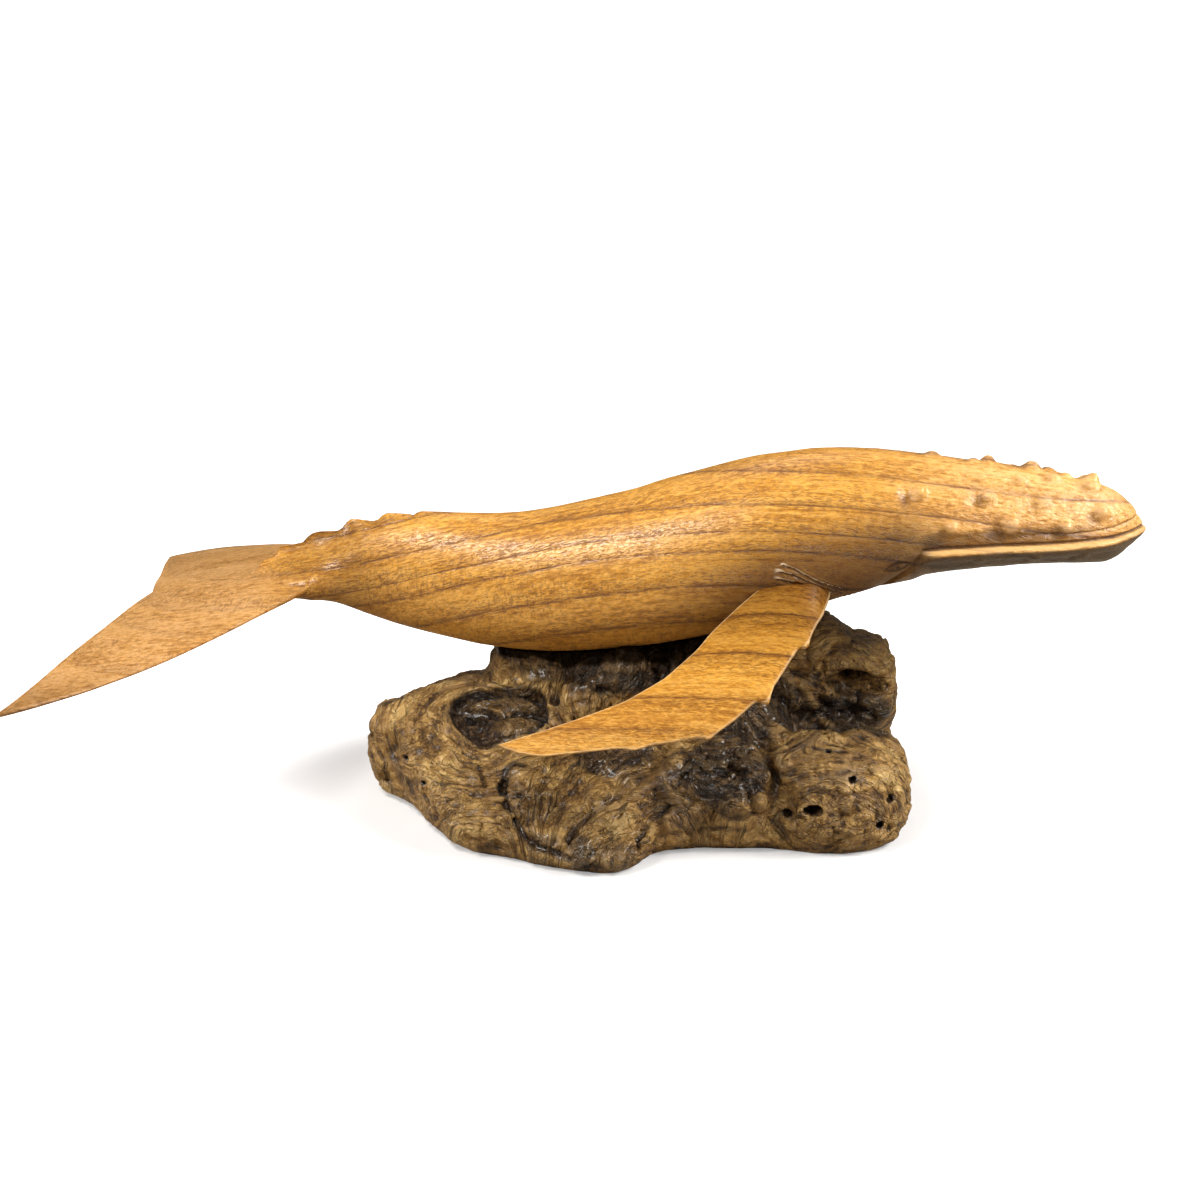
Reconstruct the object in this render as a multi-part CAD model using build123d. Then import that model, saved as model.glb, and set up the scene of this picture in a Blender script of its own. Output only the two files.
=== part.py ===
from build123d import *

# Carved humpback whale on a natural root stand.
#
# Millimetres.  +Z up, +X towards the whale's snout, +Y towards the whale's left.
# The origin lies on the flat sawn underside of the root, below the whale's belly.
#
# The whale is a solid block carving (head, trunk, tail stock, dorsal knuckles and
# fluke are one piece of wood).  The two pectoral fins are separate blades, each
# glued on over two bamboo pegs.  Two steel pins are driven into the root; the
# whale has two blind bores in its belly and lifts off the pins.
import os
from math import cos, pi, radians, sin, sqrt

# ----------------------------------------------------------------- dimensions
# Trunk stations: X, underside Z, widest Z, back Z, half width
TRUNK = [
    (-112.0, 76.1, 86.0, 97.5, 7.2),
    (-100.0, 73.4, 87.0, 101.8, 8.8),
    (-89.0, 69.7, 86.8, 105.6, 10.8),
    (-66.0, 62.9, 85.0, 109.1, 15.6),
    (-43.4, 58.3, 83.0, 108.8, 20.0),
    (-20.7, 56.8, 83.0, 110.9, 24.3),
    (1.9, 58.2, 86.5, 116.0, 27.8),
    (24.0, 61.5, 91.5, 122.6, 30.6),
    (46.5, 66.8, 97.0, 129.1, 31.6),
    (68.5, 73.7, 102.0, 133.6, 30.8),
    (90.0, 81.0, 104.5, 135.5, 28.2),
    (112.0, 88.0, 104.5, 134.4, 25.4),
    (134.0, 92.6, 103.0, 131.9, 23.6),
    (155.0, 94.7, 103.5, 129.3, 21.8),
    (175.0, 95.1, 104.8, 125.6, 18.4),
    (188.0, 97.5, 106.3, 120.5, 12.6),
    (195.6, 104.1, 107.5, 113.1, 5.2),
]
STOCK_END = (-146.0, 78.4, 79.6, 80.8, 1.8)  # tail stock dies away inside the fluke
STOCK_MID = (-128.0, 77.2, 82.6, 88.8, 4.4)
SNOUT = (198.4, 0.0, 107.6)
SECTION_POINTS = 20

# Fluke: half span, leading and trailing edge X against Y, surface Z = z0 + p (X - x0) - c Y^2
FLUKE_HALF_SPAN = 90.6
FLUKE_LE = [(0.0, -104.0), (7.2, -107.0), (27.2, -111.5), (49.8, -126.0), (72.5, -150.0), (84.3, -172.0), (89.6, -189.0), (90.5, -194.8)]
FLUKE_TE = [(0.0, -172.0), (10.9, -174.3), (27.2, -177.4), (49.8, -183.2), (72.5, -188.9), (84.3, -193.0), (89.6, -195.6), (90.5, -196.0)]
FLUKE_Z0, FLUKE_X0, FLUKE_PITCH, FLUKE_DROOP = 75.3, -172.0, 0.164, 0.00108
FLUKE_T_ROOT, FLUKE_T_TIP = 7.0, 1.6

# Pectoral fins: blade plane through the shoulder, leaning down and out
SHOULDER = (74.0, 27.0, 90.0)
FIN_DROOP = 36.0
# stations along the blade: mid point (X offset from world, distance outboard), chord, thickness
FIN_STATIONS = [
    (79.5, -9.0, 20.0, 7.4),
    (74.0, 0.0, 22.0, 7.2),
    (64.5, 13.0, 28.5, 6.4),
    (52.5, 28.0, 33.0, 5.6),
    (36.0, 44.0, 31.0, 4.8),
    (15.0, 56.5, 22.0, 4.0),
    (-8.0, 63.6, 12.5, 3.0),
    (-24.0, 65.6, 5.0, 1.8),
    (-29.0, 65.9, 1.6, 1.0),
]

# Joinery
PEG_R = 1.25                # bamboo pegs in the fin roots
PEG_IN, PEG_OUT = 10.0, 9.0  # depth into the trunk, depth into the fin
PEG_X = (70.4, 77.4)        # where the pegs cross the shoulder line
PEG_SWEEP = -0.42           # pegs lean back with the blade
PIN_R = 2.5                 # steel support pins
PIN_X = (-27.0, 19.0)       # rear pin, front pin
PIN_BOTTOM = 22.0           # lower end of each pin inside the root
PIN_ENTRY = 20.0            # length of pin standing in the belly
PIN_CLEAR = 0.05            # radial running clearance in the belly bores
BORE_SPARE = 1.0            # bore goes this much deeper than the pin
SEAT_GAP = 0.3              # air between belly and seat, so that the two never bind

# Root stand: floor outline, and how far the wall stands outside it at each height
ROOT_FLOOR = [
    (-86, -16), (-76, -27), (-64, -41), (-51, -54), (-43, -60), (-32, -65), (-21, -69.5), (-8, -73), (4, -74), (12, -72),
    (20, -63), (30, -56.5), (45, -54), (65, -54.5), (80, -56.5), (92, -56), (102, -52), (110, -44), (116, -32),
    (118, -14), (117, 10), (109, 34), (89, 49), (60, 57), (25, 59), (-10, 56), (-45, 46), (-70, 27), (-85, 5),
]
ROOT_CENTRE = (16.0, -6.0)
ROOT_WALL = [(0.0, -1.5), (9.0, 2.5), (20.0, 1.0), (64.0, 0.0)]
# Knuckles of the root: centre, half axes, and the sloping face that trims some of them
ROOT_LUMPS = [
    ((-46.0, -13.0, 9.0), (47.0, 54.0, 34.0), (-45.0, -10.0, 41.0, 28.0)),  # left lobe
    ((-47.0, 8.0, 30.0), (19.0, 21.0, 14.5), None),                         # ridge beside the column
    ((2.0, 6.0, 34.0), (52.0, 27.0, 36.0), None),                           # column under the belly
    ((6.0, -38.0, 8.0), (44.0, 39.0, 27.0), (6.0, -22.0, 34.0, 25.5)),      # front fold
    ((47.0, -35.0, 13.0), (28.0, 25.0, 22.5), None),                        # dark knuckle
    ((84.0, -28.0, 11.0), (35.0, 31.0, 24.5), None),                        # front right lobe
    ((76.0, 14.0, 38.0), (26.0, 23.5, 31.5), None),                         # rear right knuckle
    ((98.0, 15.0, 31.0), (20.5, 22.5, 26.5), None),
    ((20.0, 26.0, 8.0), (99.0, 38.0, 27.5), None),                          # back
    ((52.0, 0.0, 6.0), (70.0, 50.0, 25.0), None),                           # core
]


# ----------------------------------------------------------------- helpers
def egg(x, z_low, z_mid, z_top, half_w):
    """Closed cross-section at X, widest at z_mid, with separate upper and lower halves."""
    pts = []
    for k in range(SECTION_POINTS):
        a = 2 * pi * k / SECTION_POINTS
        s = sin(a)
        pts.append((x, half_w * cos(a), z_mid + (z_top - z_mid if s > 0 else z_mid - z_low) * s))
    return make_face(Spline(*pts, periodic=True))


def lens(centre, along, across, chord, thick):
    """Lens-shaped section through centre: chord runs along `along`, thickness along `across`."""
    c, u, v = Vector(*centre), Vector(*along).normalized(), Vector(*across).normalized()
    a, b = c - u * (chord / 2), c + u * (chord / 2)
    edge = min(0.35 * thick, 0.6)
    top = ThreePointArc(a + v * edge / 2, c + v * thick / 2, b + v * edge / 2)
    low = ThreePointArc(a - v * edge / 2, c - v * thick / 2, b - v * edge / 2)
    return make_face([top, Line(b + v * edge / 2, b - v * edge / 2), low, Line(a - v * edge / 2, a + v * edge / 2)])


def solid_of(shape):
    """The largest solid of a boolean result."""
    return sorted(shape.solids(), key=lambda s: s.volume)[-1]


def rod(start, end, radius):
    a, b = Vector(*start), Vector(*end)
    d = b - a
    return Plane(origin=a, z_dir=d) * Cylinder(radius, d.length, align=(Align.CENTER, Align.CENTER, Align.MIN))


def interp(table, y):
    for (y0, x0), (y1, x1) in zip(table, table[1:]):
        if y <= y1:
            return x0 + (x1 - x0) * (y - y0) / (y1 - y0)
    return table[-1][1]


# ----------------------------------------------------------------- whale block
trunk = loft([egg(*STOCK_END), egg(*STOCK_MID)] + [egg(*s) for s in TRUNK] + [Vertex(*SNOUT)])

fluke_sections = []
for y in (-90.5, -89.6, -84.3, -72.5, -49.8, -27.2, -7.2, 0.0, 7.2, 27.2, 49.8, 72.5, 84.3, 89.6, 90.5):
    le, te = interp(FLUKE_LE, abs(y)), interp(FLUKE_TE, abs(y))
    z = FLUKE_Z0 + FLUKE_PITCH * ((le + te) / 2 - FLUKE_X0) - FLUKE_DROOP * y * y
    t = FLUKE_T_ROOT + (FLUKE_T_TIP - FLUKE_T_ROOT) * (abs(y) / FLUKE_HALF_SPAN) ** 0.8
    fluke_sections.append(lens(((le + te) / 2, y, z), (1, 0, FLUKE_PITCH), (-FLUKE_PITCH, 0, 1), le - te, t))
fluke = loft(fluke_sections)
block = solid_of(trunk + fluke)


# ----------------------------------------------------------------- fins and pegs
def blade(side):
    """Pectoral fin, side -1 for the right, +1 for the left, running a little inside the trunk."""
    out = Vector(0, side * cos(radians(FIN_DROOP)), -sin(radians(FIN_DROOP)))
    flat = Vector(0, side * sin(radians(FIN_DROOP)), cos(radians(FIN_DROOP)))
    base = Vector(0, side * SHOULDER[1], SHOULDER[2])
    mids = [base + Vector(x, 0, 0) + out * q for x, q, _, _ in FIN_STATIONS]
    faces = []
    for i, (x, q, chord, thick) in enumerate(FIN_STATIONS):
        d = mids[min(i + 1, len(mids) - 1)] - mids[max(i - 1, 0)]
        chord_dir = d.normalized().cross(flat)
        if chord_dir.X < 0:
            chord_dir = chord_dir * -1
        faces.append(lens(mids[i], chord_dir, flat, chord, thick))
    return loft(faces)


def peg_line(side, x):
    out = Vector(0, side * cos(radians(FIN_DROOP)), -sin(radians(FIN_DROOP)))
    d = (out + Vector(PEG_SWEEP, 0, 0)).normalized()
    p = Vector(x, side * SHOULDER[1], SHOULDER[2])
    return p - d * PEG_IN, p + d * PEG_OUT


pegs = {}
for side, name in ((-1, "right"), (1, "left")):
    for x, place in zip(PEG_X, ("rear", "front")):
        pegs[f"{name}_fin_peg_{place}"] = rod(*peg_line(side, x), PEG_R)

fins = {}
for side, name in ((-1, "right"), (1, "left")):
    fin = solid_of(blade(side) - block)
    for peg_name, peg in pegs.items():
        if peg_name.startswith(name):
            fin = fin - peg
    fins[f"{name}_pectoral_fin"] = solid_of(fin)

# ----------------------------------------------------------------- root stand
levels = []
for z, out in ROOT_WALL:
    pts = []
    for x, y in ROOT_FLOOR:
        d = Vector(x - ROOT_CENTRE[0], y - ROOT_CENTRE[1], 0)
        d = d * (1 + out / d.length)
        pts.append((ROOT_CENTRE[0] + d.X, ROOT_CENTRE[1] + d.Y, z))
    levels.append(make_face(Spline(*pts, periodic=True)))
wall = loft(levels)
root = None
for (cx, cy, cz), (ax, ay, az), face in ROOT_LUMPS:
    lump = Pos(cx, cy, cz) * scale(Sphere(1.0), by=(ax, ay, az))
    if face:
        fx, fy, fz, lean = face
        lump = lump - Pos(fx, fy, fz) * Rot(lean, 0, 0) * Box(300, 300, 100, align=(Align.CENTER, Align.CENTER, Align.MIN))
    root = lump if root is None else root + lump
root = root & wall
root = root & Pos(0, 0, 60) * Box(600, 600, 120)      # sawn flat underneath
root = root - Pos(0, 0, -SEAT_GAP) * block            # seat fitted to the belly
root = solid_of(root)


def belly_z(x):
    for a, b in zip(TRUNK, TRUNK[1:]):
        if a[0] <= x <= b[0]:
            return a[1] + (b[1] - a[1]) * (x - a[0]) / (b[0] - a[0])


pins, bores = {}, []
for x, place in zip(PIN_X, ("rear", "front")):
    top = belly_z(x) + PIN_ENTRY
    pin = rod((x, 0, PIN_BOTTOM), (x, 0, top), PIN_R)
    pins[f"{place}_support_pin"] = chamfer(pin.edges().sort_by(Axis.Z)[-1], 0.6)
    bores.append(rod((x, 0, belly_z(x) - 15), (x, 0, top + BORE_SPARE), PIN_R + PIN_CLEAR))
    root = root - rod((x, 0, PIN_BOTTOM), (x, 0, 90), PIN_R)
root = solid_of(root)

whale = block
for bore in bores:
    whale = whale - bore
for peg in pegs.values():
    whale = whale - peg
whale = solid_of(whale)

# ----------------------------------------------------------------- write nodes
os.makedirs("parts", exist_ok=True)
nodes = {"whale_body": whale, "root_base": root, **fins, **pegs, **pins}
for name, shape in nodes.items():
    export_step(shape, os.path.join("parts", name + ".step"))
    box = shape.bounding_box()
    print(name, "volume", round(shape.volume), "from", [round(v, 1) for v in box.min], "to", [round(v, 1) for v in box.max])
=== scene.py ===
"""Carved humpback whale on a gnarled root stand: surfaces, finishes, light and camera.

Everything is worked out in millimetres and written in metres, in the frame of the
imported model: +Z up, +X towards the snout, Z = 0 on the sawn underside of the root.
"""

import math

import bmesh
import bpy
import numpy as np
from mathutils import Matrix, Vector


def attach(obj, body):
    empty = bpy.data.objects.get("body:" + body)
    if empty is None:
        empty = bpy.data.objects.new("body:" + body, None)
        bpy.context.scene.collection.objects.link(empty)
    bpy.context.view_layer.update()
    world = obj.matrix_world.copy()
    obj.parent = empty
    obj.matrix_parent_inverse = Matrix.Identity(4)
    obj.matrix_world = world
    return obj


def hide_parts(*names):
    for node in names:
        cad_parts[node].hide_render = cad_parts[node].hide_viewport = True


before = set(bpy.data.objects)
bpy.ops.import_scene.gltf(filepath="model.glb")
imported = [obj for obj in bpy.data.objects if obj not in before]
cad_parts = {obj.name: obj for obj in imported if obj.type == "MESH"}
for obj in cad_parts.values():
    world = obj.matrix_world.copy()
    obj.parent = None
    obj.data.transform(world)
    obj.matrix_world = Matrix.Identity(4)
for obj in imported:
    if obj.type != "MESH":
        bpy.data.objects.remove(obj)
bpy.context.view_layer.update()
MM = 0.001


# ============================================================== numeric helpers
def pchip(xs, ys, x):
    """Shape-preserving cubic through (xs, ys)."""
    xs, ys, x = np.asarray(xs, float), np.asarray(ys, float), np.asarray(x, float)
    h = np.diff(xs)
    m = np.diff(ys) / h
    d = np.zeros(len(xs))
    ok = m[:-1] * m[1:] > 0
    w1, w2 = 2 * h[1:] + h[:-1], h[1:] + 2 * h[:-1]
    with np.errstate(divide="ignore", invalid="ignore"):
        d[1:-1] = np.where(ok, (w1 + w2) / (w1 / m[:-1] + w2 / m[1:]), 0)
    d[0], d[-1] = m[0], m[-1]
    i = np.clip(np.searchsorted(xs, x) - 1, 0, len(h) - 1)
    t = np.clip((x - xs[i]) / h[i], 0, 1)
    t2, t3 = t * t, t * t * t
    return ((2 * t3 - 3 * t2 + 1) * ys[i] + (t3 - 2 * t2 + t) * h[i] * d[i]
            + (-2 * t3 + 3 * t2) * ys[i + 1] + (t3 - t2) * h[i] * d[i + 1])


def table(rows, x, col=1):
    r = np.array(rows, float)
    return pchip(r[:, 0], r[:, col], x)


def smooth(a, b, x):
    t = np.clip((x - a) / (b - a), 0, 1)
    return t * t * (3 - 2 * t)


def hash3(i, j, k, seed):
    """Repeatable pseudo random numbers in 0..1 for lattice points."""
    h = (i.astype(np.uint32) * np.uint32(374761393) + j.astype(np.uint32) * np.uint32(668265263)
         + k.astype(np.uint32) * np.uint32(2147483647) + np.uint32(seed * 1013904223 & 0xFFFFFFFF))
    h = (h ^ (h >> np.uint32(13))) * np.uint32(1274126177)
    h = (h ^ (h >> np.uint32(16))) * np.uint32(2246822519)
    h = h ^ (h >> np.uint32(15))
    return h.astype(np.float32) / np.float32(4294967295.0)


def noise3(p, seed=0):
    """Smooth value noise in -1..1 at points p (..., 3)."""
    f = np.floor(p)
    t = (p - f).astype(np.float32)
    t = t * t * t * (t * (t * 6 - 15) + 10)
    i = f.astype(np.int64)
    out = 0
    for dx in (0, 1):
        wx = t[..., 0] if dx else 1 - t[..., 0]
        for dy in (0, 1):
            wy = t[..., 1] if dy else 1 - t[..., 1]
            for dz in (0, 1):
                wz = t[..., 2] if dz else 1 - t[..., 2]
                out = out + wx * wy * wz * hash3(i[..., 0] + dx, i[..., 1] + dy, i[..., 2] + dz, seed)
    return out * 2 - 1


def fbm(p, octaves=4, seed=0, gain=0.5):
    s, a, n = 0, 1.0, 0.0
    for o in range(octaves):
        s = s + a * noise3(p * (2.03 ** o) + 17.3 * o, seed + o)
        n += a
        a *= gain
    return s / n


def ridged(p, octaves=3, seed=0):
    s, a, n = 0, 1.0, 0.0
    for o in range(octaves):
        s = s + a * (1 - np.abs(noise3(p * (2.1 ** o) + 9.7 * o, seed + o)) * 2)
        n += a
        a *= 0.5
    return s / n


def smin(a, b, k):
    h = np.clip(0.5 + 0.5 * (b - a) / k, 0, 1)
    return b + (a - b) * h - k * h * (1 - h)


def smax(a, b, k):
    return -smin(-a, -b, k)


def chain(p, pts):
    """Distance from points p to a polyline in space, and how far along it (0..1)."""
    best = np.full(p.shape[:-1], 1e9, np.float32)
    along = np.zeros(p.shape[:-1], np.float32)
    pts = [np.array(q, np.float32) for q in pts]
    lens = [np.linalg.norm(b - a) for a, b in zip(pts, pts[1:])]
    total, run = sum(lens), 0.0
    for a, b, ln in zip(pts, pts[1:], lens):
        d = b - a
        t = np.clip(((p - a) @ d) / max(float(d @ d), 1e-9), 0, 1)
        e = np.sqrt((((p - a) - t[..., None] * d) ** 2).sum(-1))
        near = e < best
        best = np.where(near, e, best)
        along = np.where(near, (run + t * ln) / total, along)
        run += ln
    return best, along


# ============================================================== mesh helpers
def new_object(name, verts, faces, smooth_faces=True):
    me = bpy.data.meshes.new(name)
    me.from_pydata([tuple(v) for v in np.asarray(verts) * MM], [], [tuple(int(i) for i in f) for f in faces])
    me.validate()
    me.update()
    if smooth_faces:
        me.polygons.foreach_set("use_smooth", [True] * len(me.polygons))
    ob = bpy.data.objects.new(name, me)
    bpy.context.scene.collection.objects.link(ob)
    return ob


def coords(ob):
    co = np.empty(len(ob.data.vertices) * 3, np.float32)
    ob.data.vertices.foreach_get("co", co)
    return co.reshape(-1, 3).astype(float) / MM


def normals(ob):
    no = np.empty(len(ob.data.vertices) * 3, np.float32)
    ob.data.vertex_normals.foreach_get("vector", no)
    return no.reshape(-1, 3).astype(float)


def attribute(ob, name, values):
    a = ob.data.attributes.get(name) or ob.data.attributes.new(name, "FLOAT", "POINT")
    a.data.foreach_set("value", np.ascontiguousarray(values, np.float32))


def apply_boolean(ob, other, operation):
    m = ob.modifiers.new("cut", "BOOLEAN")
    m.operation, m.object, m.solver = operation, other, "EXACT"
    bpy.context.view_layer.update()
    me = bpy.data.meshes.new_from_object(ob.evaluated_get(bpy.context.evaluated_depsgraph_get()))
    ob.modifiers.remove(m)
    old = ob.data
    ob.data = me
    bpy.data.meshes.remove(old)
    bpy.data.objects.remove(other)
    ob.data.polygons.foreach_set("use_smooth", [True] * len(ob.data.polygons))


# ============================================================== whale trunk
SNOUT_X, SNOUT_Z = 198.4, 107.6
# X, underside Z, widest Z, back Z, half width
STATIONS = [
    (-146, 78.6, 79.6, 80.4, 1.6), (-134, 78.0, 80.6, 83.3, 3.0), (-128, 77.2, 82.6, 88.6, 4.4),
    (-120.7, 76.6, 84.6, 94.4, 6.0),
    (-112, 76.1, 86.0, 97.4, 7.2), (-100, 73.4, 87.0, 101.6, 8.8), (-89, 69.7, 86.8, 105.4, 10.8),
    (-77.5, 65.8, 86.0, 107.9, 13.2), (-66, 62.9, 85.0, 109.0, 15.6), (-54.8, 60.5, 84.0, 109.0, 17.9),
    (-43.4, 58.3, 83.0, 108.8, 20.1), (-32, 57.2, 82.5, 109.3, 22.2), (-20.7, 56.8, 83.0, 110.9, 24.3),
    (-9.4, 57.2, 84.5, 113.3, 26.2), (1.9, 58.2, 86.5, 116.0, 27.8), (13, 59.6, 88.5, 118.8, 29.2),
    (24, 61.5, 91.5, 122.6, 30.6), (35, 63.9, 94.0, 125.8, 31.3), (46.5, 66.8, 97.0, 129.1, 31.6),
    (57.5, 70.0, 100.0, 131.9, 31.5), (68.5, 73.7, 102.0, 133.6, 30.8), (79.4, 77.4, 103.5, 135.1, 29.6),
    (90, 81.0, 104.5, 135.5, 28.2), (101, 84.7, 105.0, 135.3, 26.8), (112, 88.0, 104.5, 134.4, 25.4),
    (123, 90.2, 103.5, 133.1, 24.4), (134, 91.9, 103.0, 131.9, 23.6), (144.5, 93.1, 103.0, 130.8, 22.8),
    (155, 93.9, 103.5, 129.3, 21.8), (166, 94.3, 104.0, 127.5, 20.4), (175, 94.0, 104.8, 125.6, 18.4),
    (182.6, 94.3, 105.6, 122.9, 15.8), (188, 96.4, 106.3, 120.5, 12.6), (192.6, 101.0, 107.0, 116.8, 8.8),
    (195.6, 104.1, 107.5, 113.1, 5.2),
]
# The line of the dorsal crest, with its carved knuckles, X against Z
CREST = [
    (-146, 78.5), (-134.4, 82.8), (-131.1, 85.8), (-127.6, 89.5), (-123.7, 90.9), (-120.7, 95.0),
    (-112.1, 97.0), (-110.4, 98.9), (-108.3, 100.6), (-105.5, 101.4), (-98.6, 101.7), (-96.6, 103.0),
    (-95.3, 104.9), (-93.3, 106.4), (-90.5, 106.3), (-85.0, 105.6), (-82.9, 106.3), (-81.6, 107.8),
    (-79.6, 108.8), (-76.1, 108.8), (-71.3, 108.5), (-69.9, 107.7), (-68.9, 108.8), (-67.0, 109.6),
    (-60.2, 109.5), (-53.9, 109.0), (-48.4, 108.9), (-43.0, 108.8),
]
_st = np.array(STATIONS, float)
_D = np.concatenate([[0.0], np.sqrt(SNOUT_X - _st[::-1, 0])])
_COLS = [np.concatenate([[e], _st[::-1, c]]) for c, e in ((1, SNOUT_Z), (2, SNOUT_Z), (3, SNOUT_Z), (4, 0.0))]


def section(x):
    d = np.sqrt(np.clip(SNOUT_X - np.asarray(x, float), 0, None))
    return [pchip(_D, c, d) for c in _COLS]


# Tubercles on the head: X, Y, Z, radius, height.  Right-hand ones are seen, left-hand ones mirror them.
TUBERCLES_MID = [
    (120.4, 1.5, 133.2, 3.0, 1.5), (135.2, 0.5, 131.6, 2.5, 1.5), (140.6, 2.0, 131.0, 2.8, 2.2),
    (156.4, 1.5, 128.9, 3.6, 2.4), (168.9, -0.5, 126.9, 2.2, 0.9), (178.2, 1.0, 124.5, 2.9, 3.0),
]
TUBERCLES_SIDE = [
    (113.3, -18.8, 124.4, 2.9, 2.5), (138.1, -16.8, 122.7, 3.0, 2.0), (177.4, -5.6, 124.0, 3.4, 1.8),
    (179.2, -13.7, 116.6, 3.0, 2.2), (163.2, -5.4, 127.2, 3.0, 1.2), (146.1, -21.0, 113.4, 3.8, 2.6),
    (166.3, -19.1, 112.4, 3.0, 1.6), (125.6, -23.0, 112.8, 2.6, 1.4), (157.9, -15.6, 120.9, 3.2, 0.8),
    (151.5, -9.5, 127.6, 2.4, 0.8),
]
JAW_BUMPS = [(155.7, -21.3, 101.4, 2.6, 1.0), (173.1, -17.8, 101.2, 2.6, 1.1), (136.0, -22.4, 100.6, 2.4, 0.6)]
# Mouth: X against lip height, and the height of the upper cut above it
LIP = [(112, 103.9), (116, 104.2), (128, 104.9), (142, 105.6), (157, 106.0), (173, 106.7), (183, 107.2), (190, 107.8), (198.4, 108.3)]
CUT_HIGH = [(112, 0.6), (128, 1.4), (142, 2.9), (157, 4.2), (173, 3.8), (183, 4.2), (190, 4.8), (198.4, 5.2)]
JAW_CREASE = [(116.2, -25.2, 104.4), (113.3, -24.4, 100.3), (111.5, -22.8, 97.2), (106.9, -19.3, 92.5), (104.6, -15.5, 89.4), (102.0, -9.0, 86.4)]
EYE_CENTRE, EYE_TILT = (106.9, -24.8, 98.5), math.radians(19)
PLEATS = [
    [(66.0, -31.0, 100.7), (70.4, -30.4, 98.9), (76.3, -28.6, 95.1), (82.9, -25.4, 91.5), (89.5, -21.0, 88.7), (100, -15.5, 88.0), (118, -11.5, 91.5), (140, -9.0, 94.8)],
    [(64.8, -30.9, 98.1), (70.4, -30.0, 96.7), (76.3, -27.9, 93.4), (83.1, -23.9, 89.5), (90, -18.6, 86.6), (101, -12.4, 86.6), (118, -8.4, 90.4), (140, -6.0, 94.0)],
    [(63.8, -30.5, 95.3), (70.6, -29.1, 93.7), (76.6, -27.1, 91.8), (82.1, -23.5, 88.6), (90, -15.6, 84.8), (101, -8.8, 85.6), (118, -5.0, 89.6), (140, -3.2, 93.6)],
]


# Where the tail stock spreads into the fluke: X, half width, height of the widest point
FLARE = [(-140, 2.0, 80.4), (-134, 3.6, 80.8), (-128, 8.0, 81.8), (-122, 13.5, 82.6), (-114, 18.2, 83.8), (-107.5, 18.4, 84.0), (-104, 15.0, 84.4), (-100, 12.2, 85.0), (-96, 11.0, 85.8), (-89, 10.8, 86.8)]


def trunk_grid():
    xs = np.concatenate([
        np.arange(-146, -62, 0.85), np.arange(-62, 58, 2.0), np.arange(58, 92, 0.5), np.arange(92, 116, 0.55), np.arange(116, 184, 0.55),
        SNOUT_X - np.linspace(math.sqrt(SNOUT_X - 184), 0.25, 38) ** 2,
    ])
    a = np.linspace(-math.pi, math.pi, 4001)
    side = np.where(np.abs(a) < math.pi / 2, a, np.sign(a) * math.pi - a)      # 0 on both flanks, negative below
    dens = 1 + 1.9 * np.exp(-((side + math.radians(8)) / math.radians(30)) ** 2)
    cum = np.concatenate([[0], np.cumsum((dens[1:] + dens[:-1]) / 2)])
    ang = np.interp(np.arange(204) / 204 * cum[-1], cum, a)
    x, t = np.meshgrid(xs, ang, indexing="ij")
    lo, mi, hi, w = section(x)
    slim = w
    s, c = np.sin(t), np.cos(t)
    s = np.where(np.abs(s) < 1e-9, 0, s)
    flare = smooth(-142, -124, x) * smooth(-88, -106, x)
    w = w + smooth(-144, -134, x) * smooth(-88, -94, x) * (table(FLARE, np.clip(x, -140, -89)) - w)
    mi = mi + flare * (table(FLARE, np.clip(x, -140, -89), 2) - mi)
    lo = lo + 0.8 * flare
    # the tail stock has a sharper back than the trunk
    p = 1 + (0.5 * smooth(-45, -95, x) + 4.2 * flare) * (s > 0) * np.clip(s, 0, 1) ** (1 - 0.5 * flare)
    y = w * np.sign(c) * np.abs(c) ** p
    z = mi + np.where(s > 0, hi - mi, mi - lo) * s
    # crest and knuckles
    lift = np.interp(x, *np.array(CREST).T) - hi
    z = z + np.where((x < -43) & (s > 0), lift * np.exp(-(y / (1.5 + 0.22 * slim)) ** 2) * s ** 2, 0)
    return np.stack([x, y, z], -1)


def grid_normals(g):
    du = np.gradient(g, axis=0)
    dv = np.roll(g, -1, 1) - np.roll(g, 1, 1)
    n = np.cross(du, dv)
    n /= np.linalg.norm(n, axis=-1, keepdims=True) + 1e-12
    return -n if (n[len(n) // 2, :, 1] * g[len(g) // 2, :, 1]).sum() < 0 else n


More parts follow.
